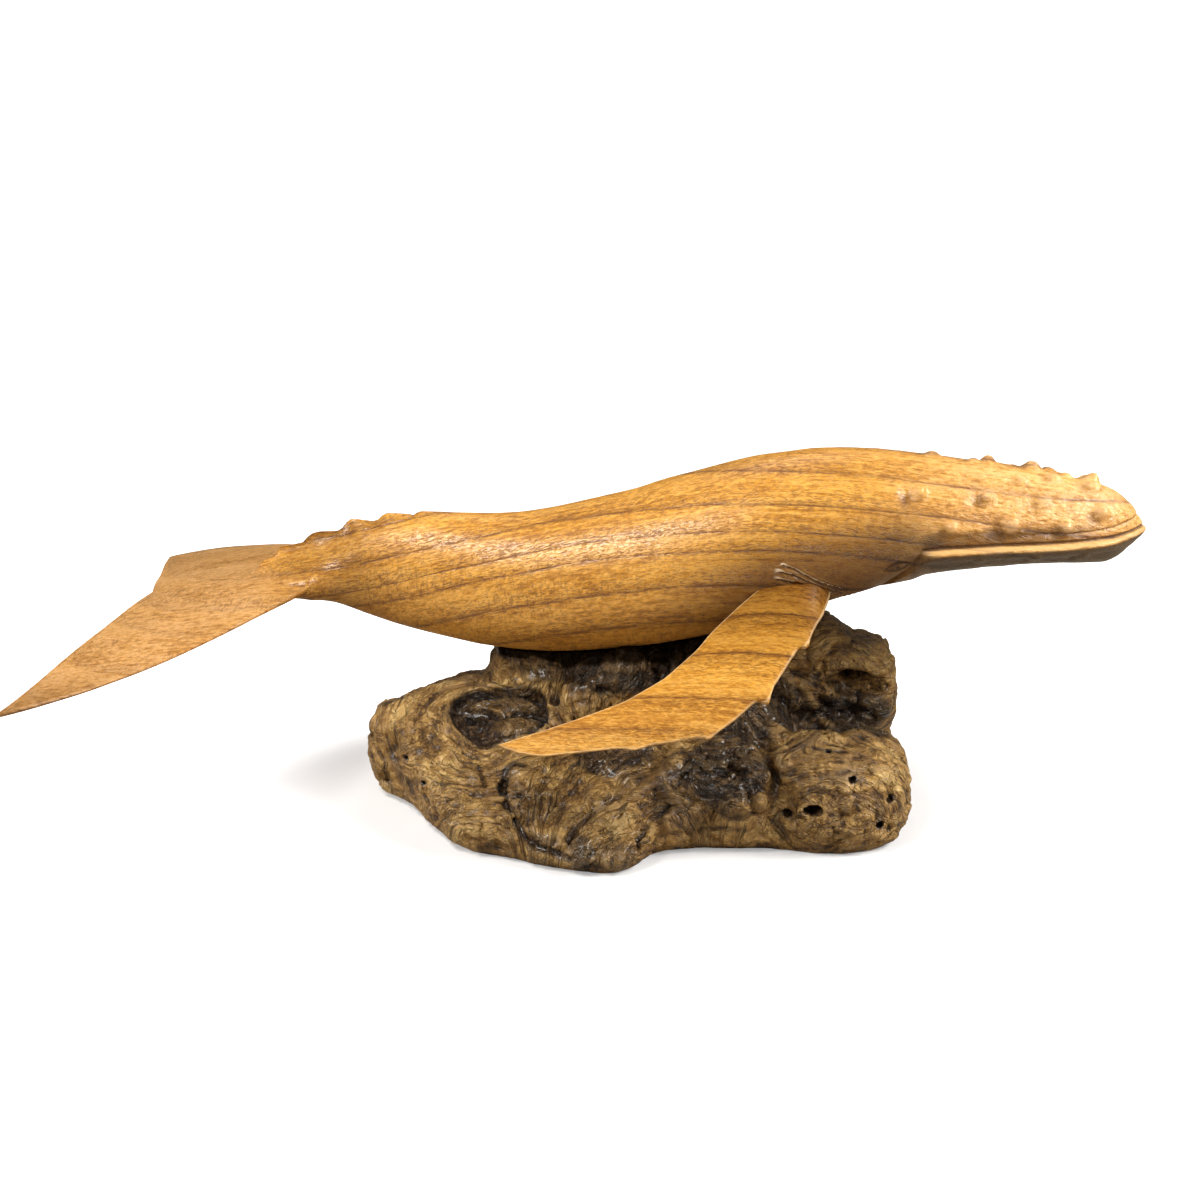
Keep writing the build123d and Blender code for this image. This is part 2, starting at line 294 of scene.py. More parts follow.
def carve(g):
    """Carved features of the trunk as offsets along its normals."""
    n = grid_normals(g)
    x, y, z = g[..., 0], g[..., 1], g[..., 2]
    right = np.stack([x, -np.abs(y), z], -1)       # both sides read the right-hand side's features
    d = np.zeros(x.shape)
    head = x > 100
    # tubercles: a round knob with a shallow dish round its tail side
    skin = right.reshape(-1, 3)
    for bx, by, bz, r, hgt in TUBERCLES_SIDE + JAW_BUMPS:
        c = skin[((skin - (bx, by, bz)) ** 2).sum(-1).argmin()]
        q = np.sqrt(((right - c) ** 2).sum(-1))
        r = 0.84 * r
        d += 1.0 * hgt * np.exp(-(q / r) ** 3.6)
        back = np.sqrt(((right - c - (-1.6 * r, 0, -0.5 * r)) ** 2).sum(-1))
        d -= 0.55 * hgt * np.exp(-(back / (1.15 * r)) ** 2)
    for bx, by, bz, r, hgt in TUBERCLES_MID:
        q = np.sqrt(((g - (bx, by, bz)) ** 2).sum(-1))
        d += hgt * np.exp(-(q / (0.85 * r)) ** 3)
        d -= 0.35 * hgt * np.exp(-(np.sqrt(((g - (bx - 1.9 * r, by, bz)) ** 2).sum(-1)) / (1.2 * r)) ** 2)
    # mouth: the lower lip is a sloping shelf, the upper jaw sits inside it, the jaw tucks in below
    s = z - table(LIP, x)
    on = smooth(113.5, 119, x)
    ch = table(CUT_HIGH, x)
    both = smooth(146, 168, x)
    front = smooth(176, 197, x)
    up = smooth(-0.2, 0.9, s) * (1 - smooth(4, 13, s))
    shelf = smooth(0.4, -0.8, s) * smooth(-7.0, -1.0, s)
    d += on * ((1.5 - 0.9 * front) * shelf - 1.0 * smooth(-1.8, -5.5, s) * (1 - front) - (0.55 - 0.35 * front) * up
               - 0.6 * np.exp(-((s - 0.75) / 0.5) ** 2) - 0.55 * both * np.exp(-((s - ch) / 0.55) ** 2))
    # lower jaw stands a little proud of the throat behind its crease
    q, along = chain(right, JAW_CREASE)
    fade = 1 - smooth(0.75, 1.0, along)
    cx = np.interp(z, [q_[2] for q_ in JAW_CREASE[::-1]], [q_[0] for q_ in JAW_CREASE[::-1]])
    below = (s < 0.5) * (z > 84)
    d += 0.4 * fade * below * smooth(0.0, 1.6, x - cx) * (1 - smooth(4, 26, x - cx))
    d -= 1.15 * fade * np.exp(-(q / 1.0) ** 2) * (s < 1.2)
    # eye: an almond cut round a small ball
    e, f, lid, rim = eye_space(x, z)
    near_eye = (np.abs(e) < 8) & (np.abs(f) < 6)
    d += np.where(near_eye, -0.62 * np.exp(-((rim - 1) * lid / 0.34) ** 2) * (np.abs(e) < 5.3), 0)
    ball = np.sqrt((e + 0.2) ** 2 + (f * 1.1) ** 2)
    d += np.where(near_eye, 0.35 * np.exp(-(ball / 1.5) ** 4) - 0.55 * np.exp(-(ball / 0.55) ** 2), 0)
    d += np.where(near_eye, 0.3 * np.exp(-((rim - 1.9) / 0.5) ** 2) * (f > 0) * lid, 0)
    # pleats of the throat
    for line in PLEATS:
        q, along = chain(right, line)
        deep = smooth(106, 93, x) * smooth(0.0, 0.03, along)
        d -= 1.0 * deep * np.exp(-(q / 0.6) ** 2)
        d += 0.35 * deep * np.exp(-((q - 1.15) / 0.5) ** 2)
    # tool work: the surface is not machine smooth
    wob = 0.22 * fbm(g / np.array([26.0, 13.0, 13.0]), 3, 5) + 0.17 * head * fbm(g / 5.0, 2, 9)
    return g + n * (d + wob)[..., None]


def trunk_object():
    g = carve(trunk_grid())
    nx, na, _ = g.shape
    verts = g.reshape(-1, 3)
    i, j = np.meshgrid(np.arange(nx - 1), np.arange(na), indexing="ij")
    k = (j + 1) % na
    quads = np.stack([i * na + j, (i + 1) * na + j, (i + 1) * na + k, i * na + k], -1).reshape(-1, 4)
    tip, end = len(verts), len(verts) + 1
    verts = np.vstack([verts, [[SNOUT_X + 0.05, 0, SNOUT_Z]], [[-146.3, 0, 79.5]]])
    faces = [list(q) for q in quads]
    last = (nx - 1) * na
    for j in range(na):
        k = (j + 1) % na
        faces.append([last + j, tip, last + k])
        faces.append([k, end, j])
    ob = new_object("whale", verts, faces)
    bm = bmesh.new()
    bm.from_mesh(ob.data)
    bmesh.ops.recalc_face_normals(bm, faces=bm.faces)
    bm.to_mesh(ob.data)
    bm.free()
    return ob


# ============================================================== fluke
FLUKE_HALF = 90.6
FLUKE_LE = [(0, -100), (7.2, -102.5), (14, -105), (20, -107.6), (27.2, -111.3), (49.8, -126), (72.5, -150), (80, -162.5), (84.3, -172), (87.6, -182), (89.6, -190), (90.6, -195.8)]
FLUKE_TE = [(0, -171.6), (4, -172.6), (10.9, -174.3), (27.2, -177.4), (49.8, -183.2), (72.5, -188.9), (84.3, -193), (89.6, -195.6), (90.6, -196.1)]


def fluke_object():
    t = np.linspace(-1, 1, 141)
    y = FLUKE_HALF * np.sign(t) * (1 - (1 - np.abs(t)) ** 1.35)
    le, te = table(FLUKE_LE, np.abs(y)), table(FLUKE_TE, np.abs(y))
    s = (1 - np.cos(np.linspace(0, math.pi, 33))) / 2
    x = le[:, None] + (te - le)[:, None] * s
    yy = np.repeat(y[:, None], len(s), 1)
    far = 0.00108 + 0.00006 * np.sign(yy)
    zm = 75.3 + 0.164 * (x + 172) - far * yy ** 2 - 1.1 * smooth(-122, -108, x) - 3.0 * smooth(76, 90.6, yy)
    thick = 6.4 - 4.4 * (np.abs(yy) / FLUKE_HALF) ** 0.75
    prof = np.clip(4 * s * (1 - s), 0, 1) ** 0.55
    prof = 0.24 + 0.76 * prof * (1 - 0.25 * s)
    half = np.maximum(thick * prof / 2, 0.35)
    wob = 0.18 * fbm(np.stack([x, yy, zm], -1) / 17.0, 2, 31)
    top = np.stack([x, yy, zm + half + wob], -1)
    low = np.stack([x, yy, zm - half + wob], -1)
    n, m = x.shape
    verts = np.vstack([top.reshape(-1, 3), low.reshape(-1, 3)])
    off = n * m
    faces = []
    for i in range(n - 1):
        for j in range(m - 1):
            a, b, c, d = i * m + j, (i + 1) * m + j, (i + 1) * m + j + 1, i * m + j + 1
            faces.append([a, b, c, d])
            faces.append([off + d, off + c, off + b, off + a])
    rim = [(i, 0) for i in range(n)] + [(n - 1, j) for j in range(1, m)] + [(i, m - 1) for i in range(n - 2, -1, -1)] + [(0, j) for j in range(m - 2, 0, -1)]
    for (i, j), (k, q) in zip(rim, rim[1:] + rim[:1]):
        a, b = i * m + j, k * m + q
        faces.append([b, a, off + a, off + b])
    ob = new_object("fluke_tmp", verts, faces)
    bm = bmesh.new()
    bm.from_mesh(ob.data)
    bmesh.ops.recalc_face_normals(bm, faces=bm.faces)
    bm.to_mesh(ob.data)
    bm.free()
    return ob


# ============================================================== growth rings
RING_LINES = [12, 25, 38, 51.6, 65.2, 78.9, 92.1, 98.8, 109.2, 121.8, 133.5, 146, 160]


def ring_height(p):
    """Height of a point in the stack of growth layers; one layer lies along each value."""
    x = p[:, 0] / 100
    return p[:, 2] + 0.285 * p[:, 1] - 15.724 * x + 11.652 * x ** 2 + 3.249 * x ** 3 - 2.179 * x ** 4


def whale_attributes(ob):
    p = coords(ob)
    x, y, z = p.T
    right = np.stack([x, -np.abs(y), z], -1)
    u = ring_height(p)
    u = u + 1.6 * fbm(p / np.array([70.0, 30.0, 30.0]), 2, 77)
    attribute(ob, "ringu", u * MM)
    attribute(ob, "ringv", np.interp(u, RING_LINES, np.arange(len(RING_LINES))))
    attribute(ob, "head", smooth(85, 150, x))
    fl = smooth(-104, -126, x) * smooth(3.0, -1.0, z - (75.3 + 0.164 * (x + 172) - 0.00108 * y ** 2 + 3.2))
    attribute(ob, "fluke", fl)
    # mouth: height above the lip, and both cuts above it
    s = z - table(LIP, x)
    attribute(ob, "lip_a", s)
    attribute(ob, "lip_b", s - table(CUT_HIGH, x))
    attribute(ob, "lip_on", smooth(114, 119, x) * (s > -20) * (s < 20))
    attribute(ob, "lip_two", smooth(146, 166, x) * (s > -20) * (s < 20))
    # throat pleats: 0, 1, 2 along the three cuts
    lines = [np.array(l) for l in PLEATS]
    q = []
    for line, raw in zip(lines, PLEATS):
        dist, _ = chain(right, raw)
        q.append(np.where(z > np.interp(x, line[:, 0], line[:, 2]), dist, -dist))
    w = np.where(q[0] > 0, -q[0] / 2.4, np.where(q[1] > 0, -q[0] / np.maximum(q[1] - q[0], 1e-6), np.where(q[2] > 0, 1 - q[1] / np.maximum(q[2] - q[1], 1e-6), 2 - q[2] / 2.4)))
    attribute(ob, "pleat", w)
    attribute(ob, "pleat_on", smooth(62.5, 65.0, x) * smooth(103, 92, x) * smooth(-0.6, -0.3, w) * smooth(2.6, 2.3, w) * smooth(-6, -12, right[:, 1]))
    # eye: 1 on the rim of the lids; distance from the pupil
    e, f, lid, rim = eye_space(x, z)
    attribute(ob, "eye_rim", np.where((np.abs(e) < 9) & (np.abs(y) > 15), rim, 9.0))
    attribute(ob, "eye_ball", np.where(np.abs(y) > 15, np.sqrt((e + 0.2) ** 2 + (1.15 * f) ** 2), 9.0))
    # knobs: a painted highlight on each top, and painted shade in the dish on the tail side of each
    top, dish = np.zeros(len(p)), np.zeros(len(p))
    for bx, by, bz, r, hgt in TUBERCLES_SIDE + JAW_BUMPS + TUBERCLES_MID:
        from_ = right if by < -4 else p
        c = from_[((from_ - (bx, by, bz)) ** 2).sum(-1).argmin()]
        top = np.maximum(top, np.exp(-(np.sqrt(((from_ - c) ** 2).sum(-1)) / (0.72 * r)) ** 3))
        back = np.sqrt(((from_ - c - (-1.15 * r, 0, -0.75 * r)) ** 2).sum(-1))
        dish = np.maximum(dish, min(1.0, 0.45 + 0.3 * hgt) * np.exp(-(back / (0.85 * r)) ** 2.4))
    attribute(ob, "knob_highlight", top)
    attribute(ob, "knob_dish_shade", dish * (1 - top) * smooth(-0.5, 1.0, s))
    # painted shade under the overhang of the upper jaw, in a band above the lip
    attribute(ob, "lip_shade", (smooth(112, 122, x) - 0.25 * smooth(150, 166, x) - 0.75 * smooth(164, 186, x))
              * smooth(0.5, 1.1, s) * smooth(7.8, 5.0, s))
    # tone: painted shade, as darker, greyer wood, low on the front body and throat, under the lip on the lower jaw and
    # on the tail stock, where those faces turn from the light; the fluke tips are darker wood
    lo, mi, hi, w_ = section(np.clip(x, -145, SNOUT_X - 0.5))
    t = (z - lo) / np.maximum(hi - lo, 1.0)
    tone = 0.94 * smooth(12, 66, x) * smooth(126, 106, x) * smooth(0.78, 0.42, t)
    tone = np.maximum(tone, 0.95 * smooth(108, 113, x) * smooth(-0.9, -1.7, s))
    tone = np.maximum(tone, 0.86 * smooth(88, 100, x) * smooth(126, 116, x) * smooth(0.62, 0.40, t))
    tip = smooth(62, 92, np.abs(y)) * fl
    tone = np.maximum(tone, 0.46 * smooth(-66, -96, x) * smooth(-128, -112, x) * (1 - fl))
    attribute(ob, "edge", np.full(len(p), 9.0))
    attribute(ob, "tone", np.clip(np.maximum(tone, 0.5 * tip), 0, 1))


def eye_space(x, z):
    ex, ez = x - EYE_CENTRE[0], z - EYE_CENTRE[2]
    e = ex * math.cos(EYE_TILT) + ez * math.sin(EYE_TILT)
    f = -ex * math.sin(EYE_TILT) + ez * math.cos(EYE_TILT)
    lid = np.clip(1 - (e / 4.8) ** 2, 0.02, 1)
    return e, f, lid, np.where(f > 0, f / (1.5 * lid), -f / (1.3 * lid))


def bore(x):
    bpy.ops.mesh.primitive_cylinder_add(vertices=48, radius=2.55 * MM, depth=60 * MM, location=(x * MM, 0, 0))
    ob = bpy.context.active_object
    top = np.interp(x, [s[0] for s in STATIONS], [s[1] for s in STATIONS]) + 21.0
    ob.location.z = (top - 30) * MM
    bpy.context.view_layer.update()
    return ob


whale = trunk_object()
apply_boolean(whale, fluke_object(), "UNION")
for pin_x in (-27.0, 19.0):
    apply_boolean(whale, bore(pin_x), "DIFFERENCE")
whale.name = whale.data.name = "whale_carving"
whale_attributes(whale)


# ============================================================== pectoral fins
FIN_DROOP = math.radians(36)
FIN_BASE = (27.0, 90.0)
# outline on the blade: X, distance outboard of the shoulder.  The leading edge has carved knobs.
FIN_LE = [
    (85.5, -9), (84.6, -5), (82.9, 1.6), (80.5, 9.0), (77.4, 15.8), (75.5, 21.0), (75.0, 24.0), (74.0, 24.9), (71.4, 25.0), (70.4, 26.6), (66.2, 34.3),
    (62.6, 40.6), (61.4, 44.5), (60.9, 47.2), (60.0, 48.1), (57.6, 46.9), (56.0, 47.2), (49.2, 54.2), (43.4, 59.0), (41.6, 61.0), (40.2, 61.9), (38.7, 61.2),
    (36.0, 61.2), (29.5, 62.8), (20.8, 64.4), (17.4, 65.9), (15.4, 66.4), (12.5, 65.7), (8.7, 66.0), (-3.1, 67.8), (-14.7, 69.4), (-19.5, 69.0), (-23.6, 68.2), (-27.5, 66.8), (-30.0, 65.6),
]
FIN_TE = [(68, -9), (66.4, -6), (63.7, -3.3), (56.3, 2.7), (49.4, 9.6), (41.7, 18.6), (35.8, 27.4), (25.1, 38.9), (12.1, 48.0), (0.3, 53.4), (-9.7, 57.6), (-19.6, 61.5), (-26.5, 64.2), (-30.0, 65.6)]


def resample(pts, n, sigma, bias=1.0):
    p = np.array(pts, float)
    ln = np.concatenate([[0], np.cumsum(np.linalg.norm(np.diff(p, axis=0), axis=1))])
    fine = np.linspace(0, ln[-1], 1600)
    q = np.stack([np.interp(fine, ln, p[:, k]) for k in (0, 1)], 1)
    k = int(max(1, 3 * sigma / (ln[-1] / 1600)))
    w = np.exp(-0.5 * (np.arange(-k, k + 1) * (ln[-1] / 1600) / sigma) ** 2)
    w /= w.sum()
    pad = np.vstack([2 * q[0] - q[k:0:-1], q, 2 * q[-1] - q[-2:-k - 2:-1]])
    q = np.stack([np.convolve(pad[:, c], w, "valid") for c in (0, 1)], 1)
    t = np.linspace(0, 1, n) ** bias
    return np.stack([np.interp(t * ln[-1], fine, q[:, c]) for c in (0, 1)], 1)


def fin_object(side, name):
    n, m = 240, 25
    le, te = resample(FIN_LE, n, 0.55), resample(FIN_TE, n, 1.6)
    s = (1 - np.cos(np.linspace(0, math.pi, m))) / 2
    pq = le[:, None, :] + (te - le)[:, None, :] * s[None, :, None]
    q = pq[..., 1]
    run = np.linspace(0, 1, n)[:, None]
    thick = 7.0 - 5.4 * run ** 0.9
    prof = np.clip(4 * s * (1 - s), 0, 1) ** 0.6
    half = np.maximum(thick * (0.2 + 0.8 * prof[None, :]) / 2, 0.4)
    # a slight bow along the blade and a little twist
    bow = -5.4 * (1 - s[None, :]) ** 5 * smooth(20, -2, q) + 2.2 * s[None, :] ** 2 * smooth(13, -5, q) + 1.1 * np.sin(np.clip(q / 66, 0, 1) * math.pi) - 0.4 * (s[None, :] - 0.5) * np.clip(q / 66, 0, 1)
    wob = 0.15 * fbm(np.stack([pq[..., 0], q, 0 * q + 3.3 * side], -1) / 12.0, 2, 41)

    def place(off):
        yy = FIN_BASE[0] + q * math.cos(FIN_DROOP) + off * math.sin(FIN_DROOP)
        zz = FIN_BASE[1] - q * math.sin(FIN_DROOP) + off * math.cos(FIN_DROOP)
        return np.stack([pq[..., 0], side * yy, zz], -1)

    top, low = place(half + bow + wob), place(-half + bow + wob)
    verts = np.vstack([top.reshape(-1, 3), low.reshape(-1, 3)])
    off = n * m
    faces = []
    for i in range(n - 1):
        for j in range(m - 1):
            a, b, c, d = i * m + j, (i + 1) * m + j, (i + 1) * m + j + 1, i * m + j + 1
            faces.append([a, b, c, d])
            faces.append([off + d, off + c, off + b, off + a])
    rim = [(i, 0) for i in range(n)] + [(n - 1, j) for j in range(1, m)] + [(i, m - 1) for i in range(n - 2, -1, -1)] + [(0, j) for j in range(m - 2, 0, -1)]
    for (i, j), (k, r) in zip(rim, rim[1:] + rim[:1]):
        faces.append([k * m + r, i * m + j, off + i * m + j, off + k * m + r])
    ob = new_object(name, verts, faces)
    bm = bmesh.new()
    bm.from_mesh(ob.data)
    bmesh.ops.remove_doubles(bm, verts=bm.verts, dist=0.00002)
    bmesh.ops.recalc_face_normals(bm, faces=bm.faces)
    bm.to_mesh(ob.data)
    bm.free()
    p = coords(ob)
    out = (np.abs(p[:, 1]) - FIN_BASE[0]) * math.cos(FIN_DROOP) - (p[:, 2] - FIN_BASE[1]) * math.sin(FIN_DROOP)
    up = out + 0.9 * fbm(p / np.array([60.0, 20.0, 20.0]), 2, 51) + (0 if side < 0 else 4.0)
    attribute(ob, "ringu", up * MM)
    attribute(ob, "ringv", np.interp(up, [-20, -2, 13.6, 29.6, 46.2, 59.5, 74, 90], np.arange(8)))
    attribute(ob, "head", np.zeros(len(p)))
    attribute(ob, "fluke", 0.4 * smooth(30, 64, out))
    # tone: painted shade towards the root of the blade, where the body overhangs it
    attribute(ob, "tone", 0.04 + 0.80 * smooth(44, 2, out))
    flat = np.stack([p[:, 0], out, 0 * out], -1)
    near = np.minimum(*[chain(flat, [(*q, 0.0) for q in edge[::6]] + [(*edge[-1], 0.0)])[0] for edge in (le, te)])
    attribute(ob, "edge", near)
    for name_, far_ in (("lip_a", 60.0), ("lip_b", 60.0), ("lip_on", 0.0), ("lip_two", 0.0), ("pleat", 0.5), ("pleat_on", 0.0), ("eye_rim", 9.0), ("eye_ball", 9.0), ("knob_highlight", 0.0), ("knob_dish_shade", 0.0), ("lip_shade", 0.0)):
        attribute(ob, name_, np.full(len(p), far_))
    return ob


fin_r = fin_object(-1, "right_fin_blade")
fin_l = fin_object(1, "left_fin_blade")


# ============================================================== root stand
FLOOR_LINE = [
    (-88, -14), (-84, -20), (-76, -26), (-64, -41), (-51, -55), (-43, -61), (-32, -65.5), (-21, -70), (-10, -72.5), (4, -75.5), (10, -74.5),
    (16, -69), (21, -60.5), (27, -56.5), (39, -54), (53, -54), (69, -54.5), (80, -57), (90, -57), (101, -53), (108, -47), (115, -35),
    (118, -16), (117, 10), (110, 34), (90, 49), (60, 57), (25, 59), (-10, 56), (-45, 46), (-70, 27), (-86, 6),
]


def ellipsoid(p, c, a, power=2.0, tilt=None):
    q = p - np.array(c, np.float32)
    if tilt is not None:
        t = math.radians(tilt)
        q = np.stack([q[..., 0] * math.cos(t) + q[..., 1] * math.sin(t), -q[..., 0] * math.sin(t) + q[..., 1] * math.cos(t), q[..., 2]], -1)
    q = np.abs(q / np.array(a, np.float32))
    k = ((q ** power).sum(-1)) ** (1 / power)
    return (k - 1) * min(a) * (0.55 + 0.45 * np.clip(k, 0, 1.5))


def outline(px, py, line):
    """Signed distance to a closed line, negative inside."""
    d = np.full(px.shape, 1e9, np.float32)
    inside = np.zeros(px.shape, bool)
    n = len(line)
    for i in range(n):
        ax, ay = line[i]
        bx, by = line[(i + 1) % n]
        ex, ey = bx - ax, by - ay
        wx, wy = px - ax, py - ay
        t = np.clip((wx * ex + wy * ey) / (ex * ex + ey * ey), 0, 1)
        d = np.minimum(d, (wx - ex * t) ** 2 + (wy - ey * t) ** 2)
        c = ((ay <= py) & (by > py)) | ((by <= py) & (ay > py))
        inside ^= c & (px < ax + (py - ay) * ex / (ey if ey != 0 else 1e-9))
    d = np.sqrt(d)
    return np.where(inside, -d, d)


def root_masses(p):
    x, y, z = p[..., 0], p[..., 1], p[..., 2]
    d = ellipsoid(p, (-46, -13, 10), (45.5, 52, 34), 2.6)                 # left lobe with a sloping face
    lean = np.where(x > -45, 0.12, 0.02) * (x + 45)
    d = smax(d, 0.88 * (z - 41.5) - 0.47 * (y + 10) - lean, 5)
    d = smax(d, 0.945 * z + 0.326 * y - 36.2 - 0.30 * (x + 65), 3)
    d = smin(d, ellipsoid(p, (-44, 9, 28), (20, 20, 12.5)), 4)            # ridge beside the column
    d = smin(d, ellipsoid(p, (-34, 9, 40), (10.5, 13, 14)), 3)
    d = smin(d, ellipsoid(p, (-14, 11, 33), (26, 19, 33), 4), 4)          # column under the belly
    d = smin(d, ellipsoid(p, (17, 6, 33), (29, 22, 32), 4), 4)
    e = ellipsoid(p, (6, -38, 8), (42, 38, 26), 2.4)                      # front fold
    e = smax(e, 0.90 * (z - 34) - 0.43 * (y + 22), 4)
    d = smin(d, e, 5)
    d = smin(d, ellipsoid(p, (47, -35, 13), (27, 24, 22), 2.2), 3.5)      # dark knuckle
    d = smin(d, ellipsoid(p, (58, -14, 27), (15, 17, 17)), 3.5)           # spur behind it
    d = smin(d, ellipsoid(p, (84, -28, 11), (32, 29, 23), 3.0), 3)        # front right lobe
    d = smin(d, ellipsoid(p, (76, 14, 38), (22.5, 22, 29), 2.8), 4)       # rear right knuckle
    d = smin(d, ellipsoid(p, (97, 12, 38.5), (15.8, 20, 18.6), 4), 2.5)
    d = smin(d, ellipsoid(p, (20, 26, 8), (95, 36, 26), 2.4), 8)          # back
    d = smin(d, ellipsoid(p, (52, 0, 6), (66, 48, 24)), 5)                # core
    return d


# Long cuts (line, width, depth) and raised strands (line, width, height)
CUTS = [
    ([(-52, -34.1, 27.7), (-47.1, -35.8, 27.1), (-43, -39.1, 25.6), (-41, -43.8, 23.3), (-39.1, -49.2, 20.8)], 0.9, 1.5),
    ([(-44, -51.4, 18.9), (-37.9, -53.3, 18.9), (-32.1, -54.2, 19.8)], 1.0, 1.0),
    ([(-32.1, -51.7, 21.1), (-31, -55, 19.5), (-29, -59.5, 17), (-26.1, -63.7, 14.2), (-23.4, -66.9, 11), (-18.9, -69.2, 8.8), (-13.9, -71.1, 7.8), (-7.9, -72.9, 6.3), (5, -74.7, 3)], 1.5, 2.8),
    ([(24, -36, 29), (22.1, -40.4, 26), (13, -47.3, 21.9), (7, -52.8, 19.3), (1, -58.1, 16.7), (-5, -64.2, 13.8), (-7, -70, 10.5)], 1.7, 3.2),
    ([(27, -56, 8), (29, -54, 17), (30.1, -50.9, 23.4), (34.9, -48, 28.6), (44, -43, 33.4), (54.1, -40, 34), (61, -40, 32.5)], 1.3, 1.8),
    ([(61, -36, 33), (62, -42, 31.4), (65, -49.1, 27.6), (65, -53.4, 20), (65.5, -54.9, 13), (69, -56, 6), (70, -56, 0)], 1.7, 3.6),
    ([(76, -21, 33), (88, -20, 33), (97, -14, 32), (104, -8, 30), (112, -4, 27), (119, 2, 25)], 2.4, 4.5),
    ([(14, -70, 4), (17, -66, 10), (21, -61, 15), (28, -55, 18)], 1.4, 2.2),
    ([(36, -55, 9), (48, -57, 11), (58, -57, 9), (66, -56, 7)], 1.0, 1.3),
    ([(88, -57, 8), (98, -55, 10), (107, -49, 9)], 0.9, 0.9),
    ([(-78, -24, 22), (-70, -36, 18), (-60, -46, 13), (-48, -57, 9)], 1.6, 1.3),
]
STRANDS = [
    ([(-56, -24.9, 32.4), (-58, -18.1, 35.7), (-57, -12.8, 38.2), (-52, -9.9, 40.4), (-45.1, -8.2, 42.8), (-36, -8, 44.6), (-27, -9, 45.5), (-19, -12, 44.5), (-16, -17, 40), (-16.5, -22, 36.5)], 2.2, 1.5),
    ([(-22, -8, 47), (-14, -13, 46.5), (-6, -16.5, 47), (1, -16.6, 50)], 2.0, 1.8),
    ([(-3.9, -41.2, 25.8), (-1, -46.2, 22.7), (-3, -54.9, 18.4), (-7, -60.9, 15.5), (-12, -66.2, 12.7), (-14.9, -69.9, 9.3)], 2.6, 1.7),
    ([(30, -40, 29), (26.1, -44.9, 25.4), (17, -50.1, 20.6), (9, -55.5, 18), (4, -60.2, 15.8), (-1, -65.7, 13.1), (-3, -71.2, 9.7)], 2.4, 2.0),
    ([(78, -8.5, 46), (80, -9.5, 40), (83, -14, 35), (86, -22, 34), (88, -30, 34)], 2.3, 2.6),
    ([(72, -8.5, 44), (75, -11, 37), (78, -18, 34), (81, -30, 34), (83, -40, 33)], 2.1, 2.2),
    ([(74, -57, 18), (78, -56.5, 21), (83, -56.2, 19.5), (82, -57, 14), (81, -57, 7)], 1.5, 1.3),
    ([(88, 2, 57), (95, -2, 54.5), (104, -5, 53), (111, -1, 51)], 2.0, 1.2),
    ([(-84, -14, 30), (-76, -7, 35.5), (-66, -3, 39)], 2.2, 1.5),
    ([(40, -45, 32.5), (48, -41.5, 34.5), (57, -38.5, 33.5)], 1.8, 1.4),
    ([(56, -20, 44), (50, -28, 38), (45, -36, 34.5)], 2.0, 2.2),
]
KNOT_N = np.array((-0.11, -0.46, 0.88))
KNOT_C = np.array((-36.0, -21.0, 36.5))
KNOT_EDGE = [(-20.2, 1.5), (-18.6, 8.0), (-14.6, 11.4), (-7.6, 12.8), (2.2, 13.8), (9.2, 13.6), (14.2, 12.0), (16.6, 7.4), (17.6, 1.2), (18.4, -4.2), (14.2, -8.2), (6.0, -10.6), (0.0, -13.6), (-5.0, -15.6), (-10.2, -11.6), (-16.4, -5.4)]

KNOT_PLATE = [(-15.5, 7.0), (-8, 10.2), (3, 11.0), (11.5, 10.0), (14.5, 4.5), (6.5, 2.6), (-0.5, 1.0), (-5.5, 4.6), (-11.5, 5.4)]


def knot_plane(p):
    n = KNOT_N / np.linalg.norm(KNOT_N)
    e1 = np.cross((0, 1, 0.5), n)
    e1 = e1 / np.linalg.norm(e1)
    e1 = e1 if e1[0] > 0 else -e1
    e2 = np.cross(n, e1)
    q = p - KNOT_C
    return q @ e1, q @ e2, q @ n


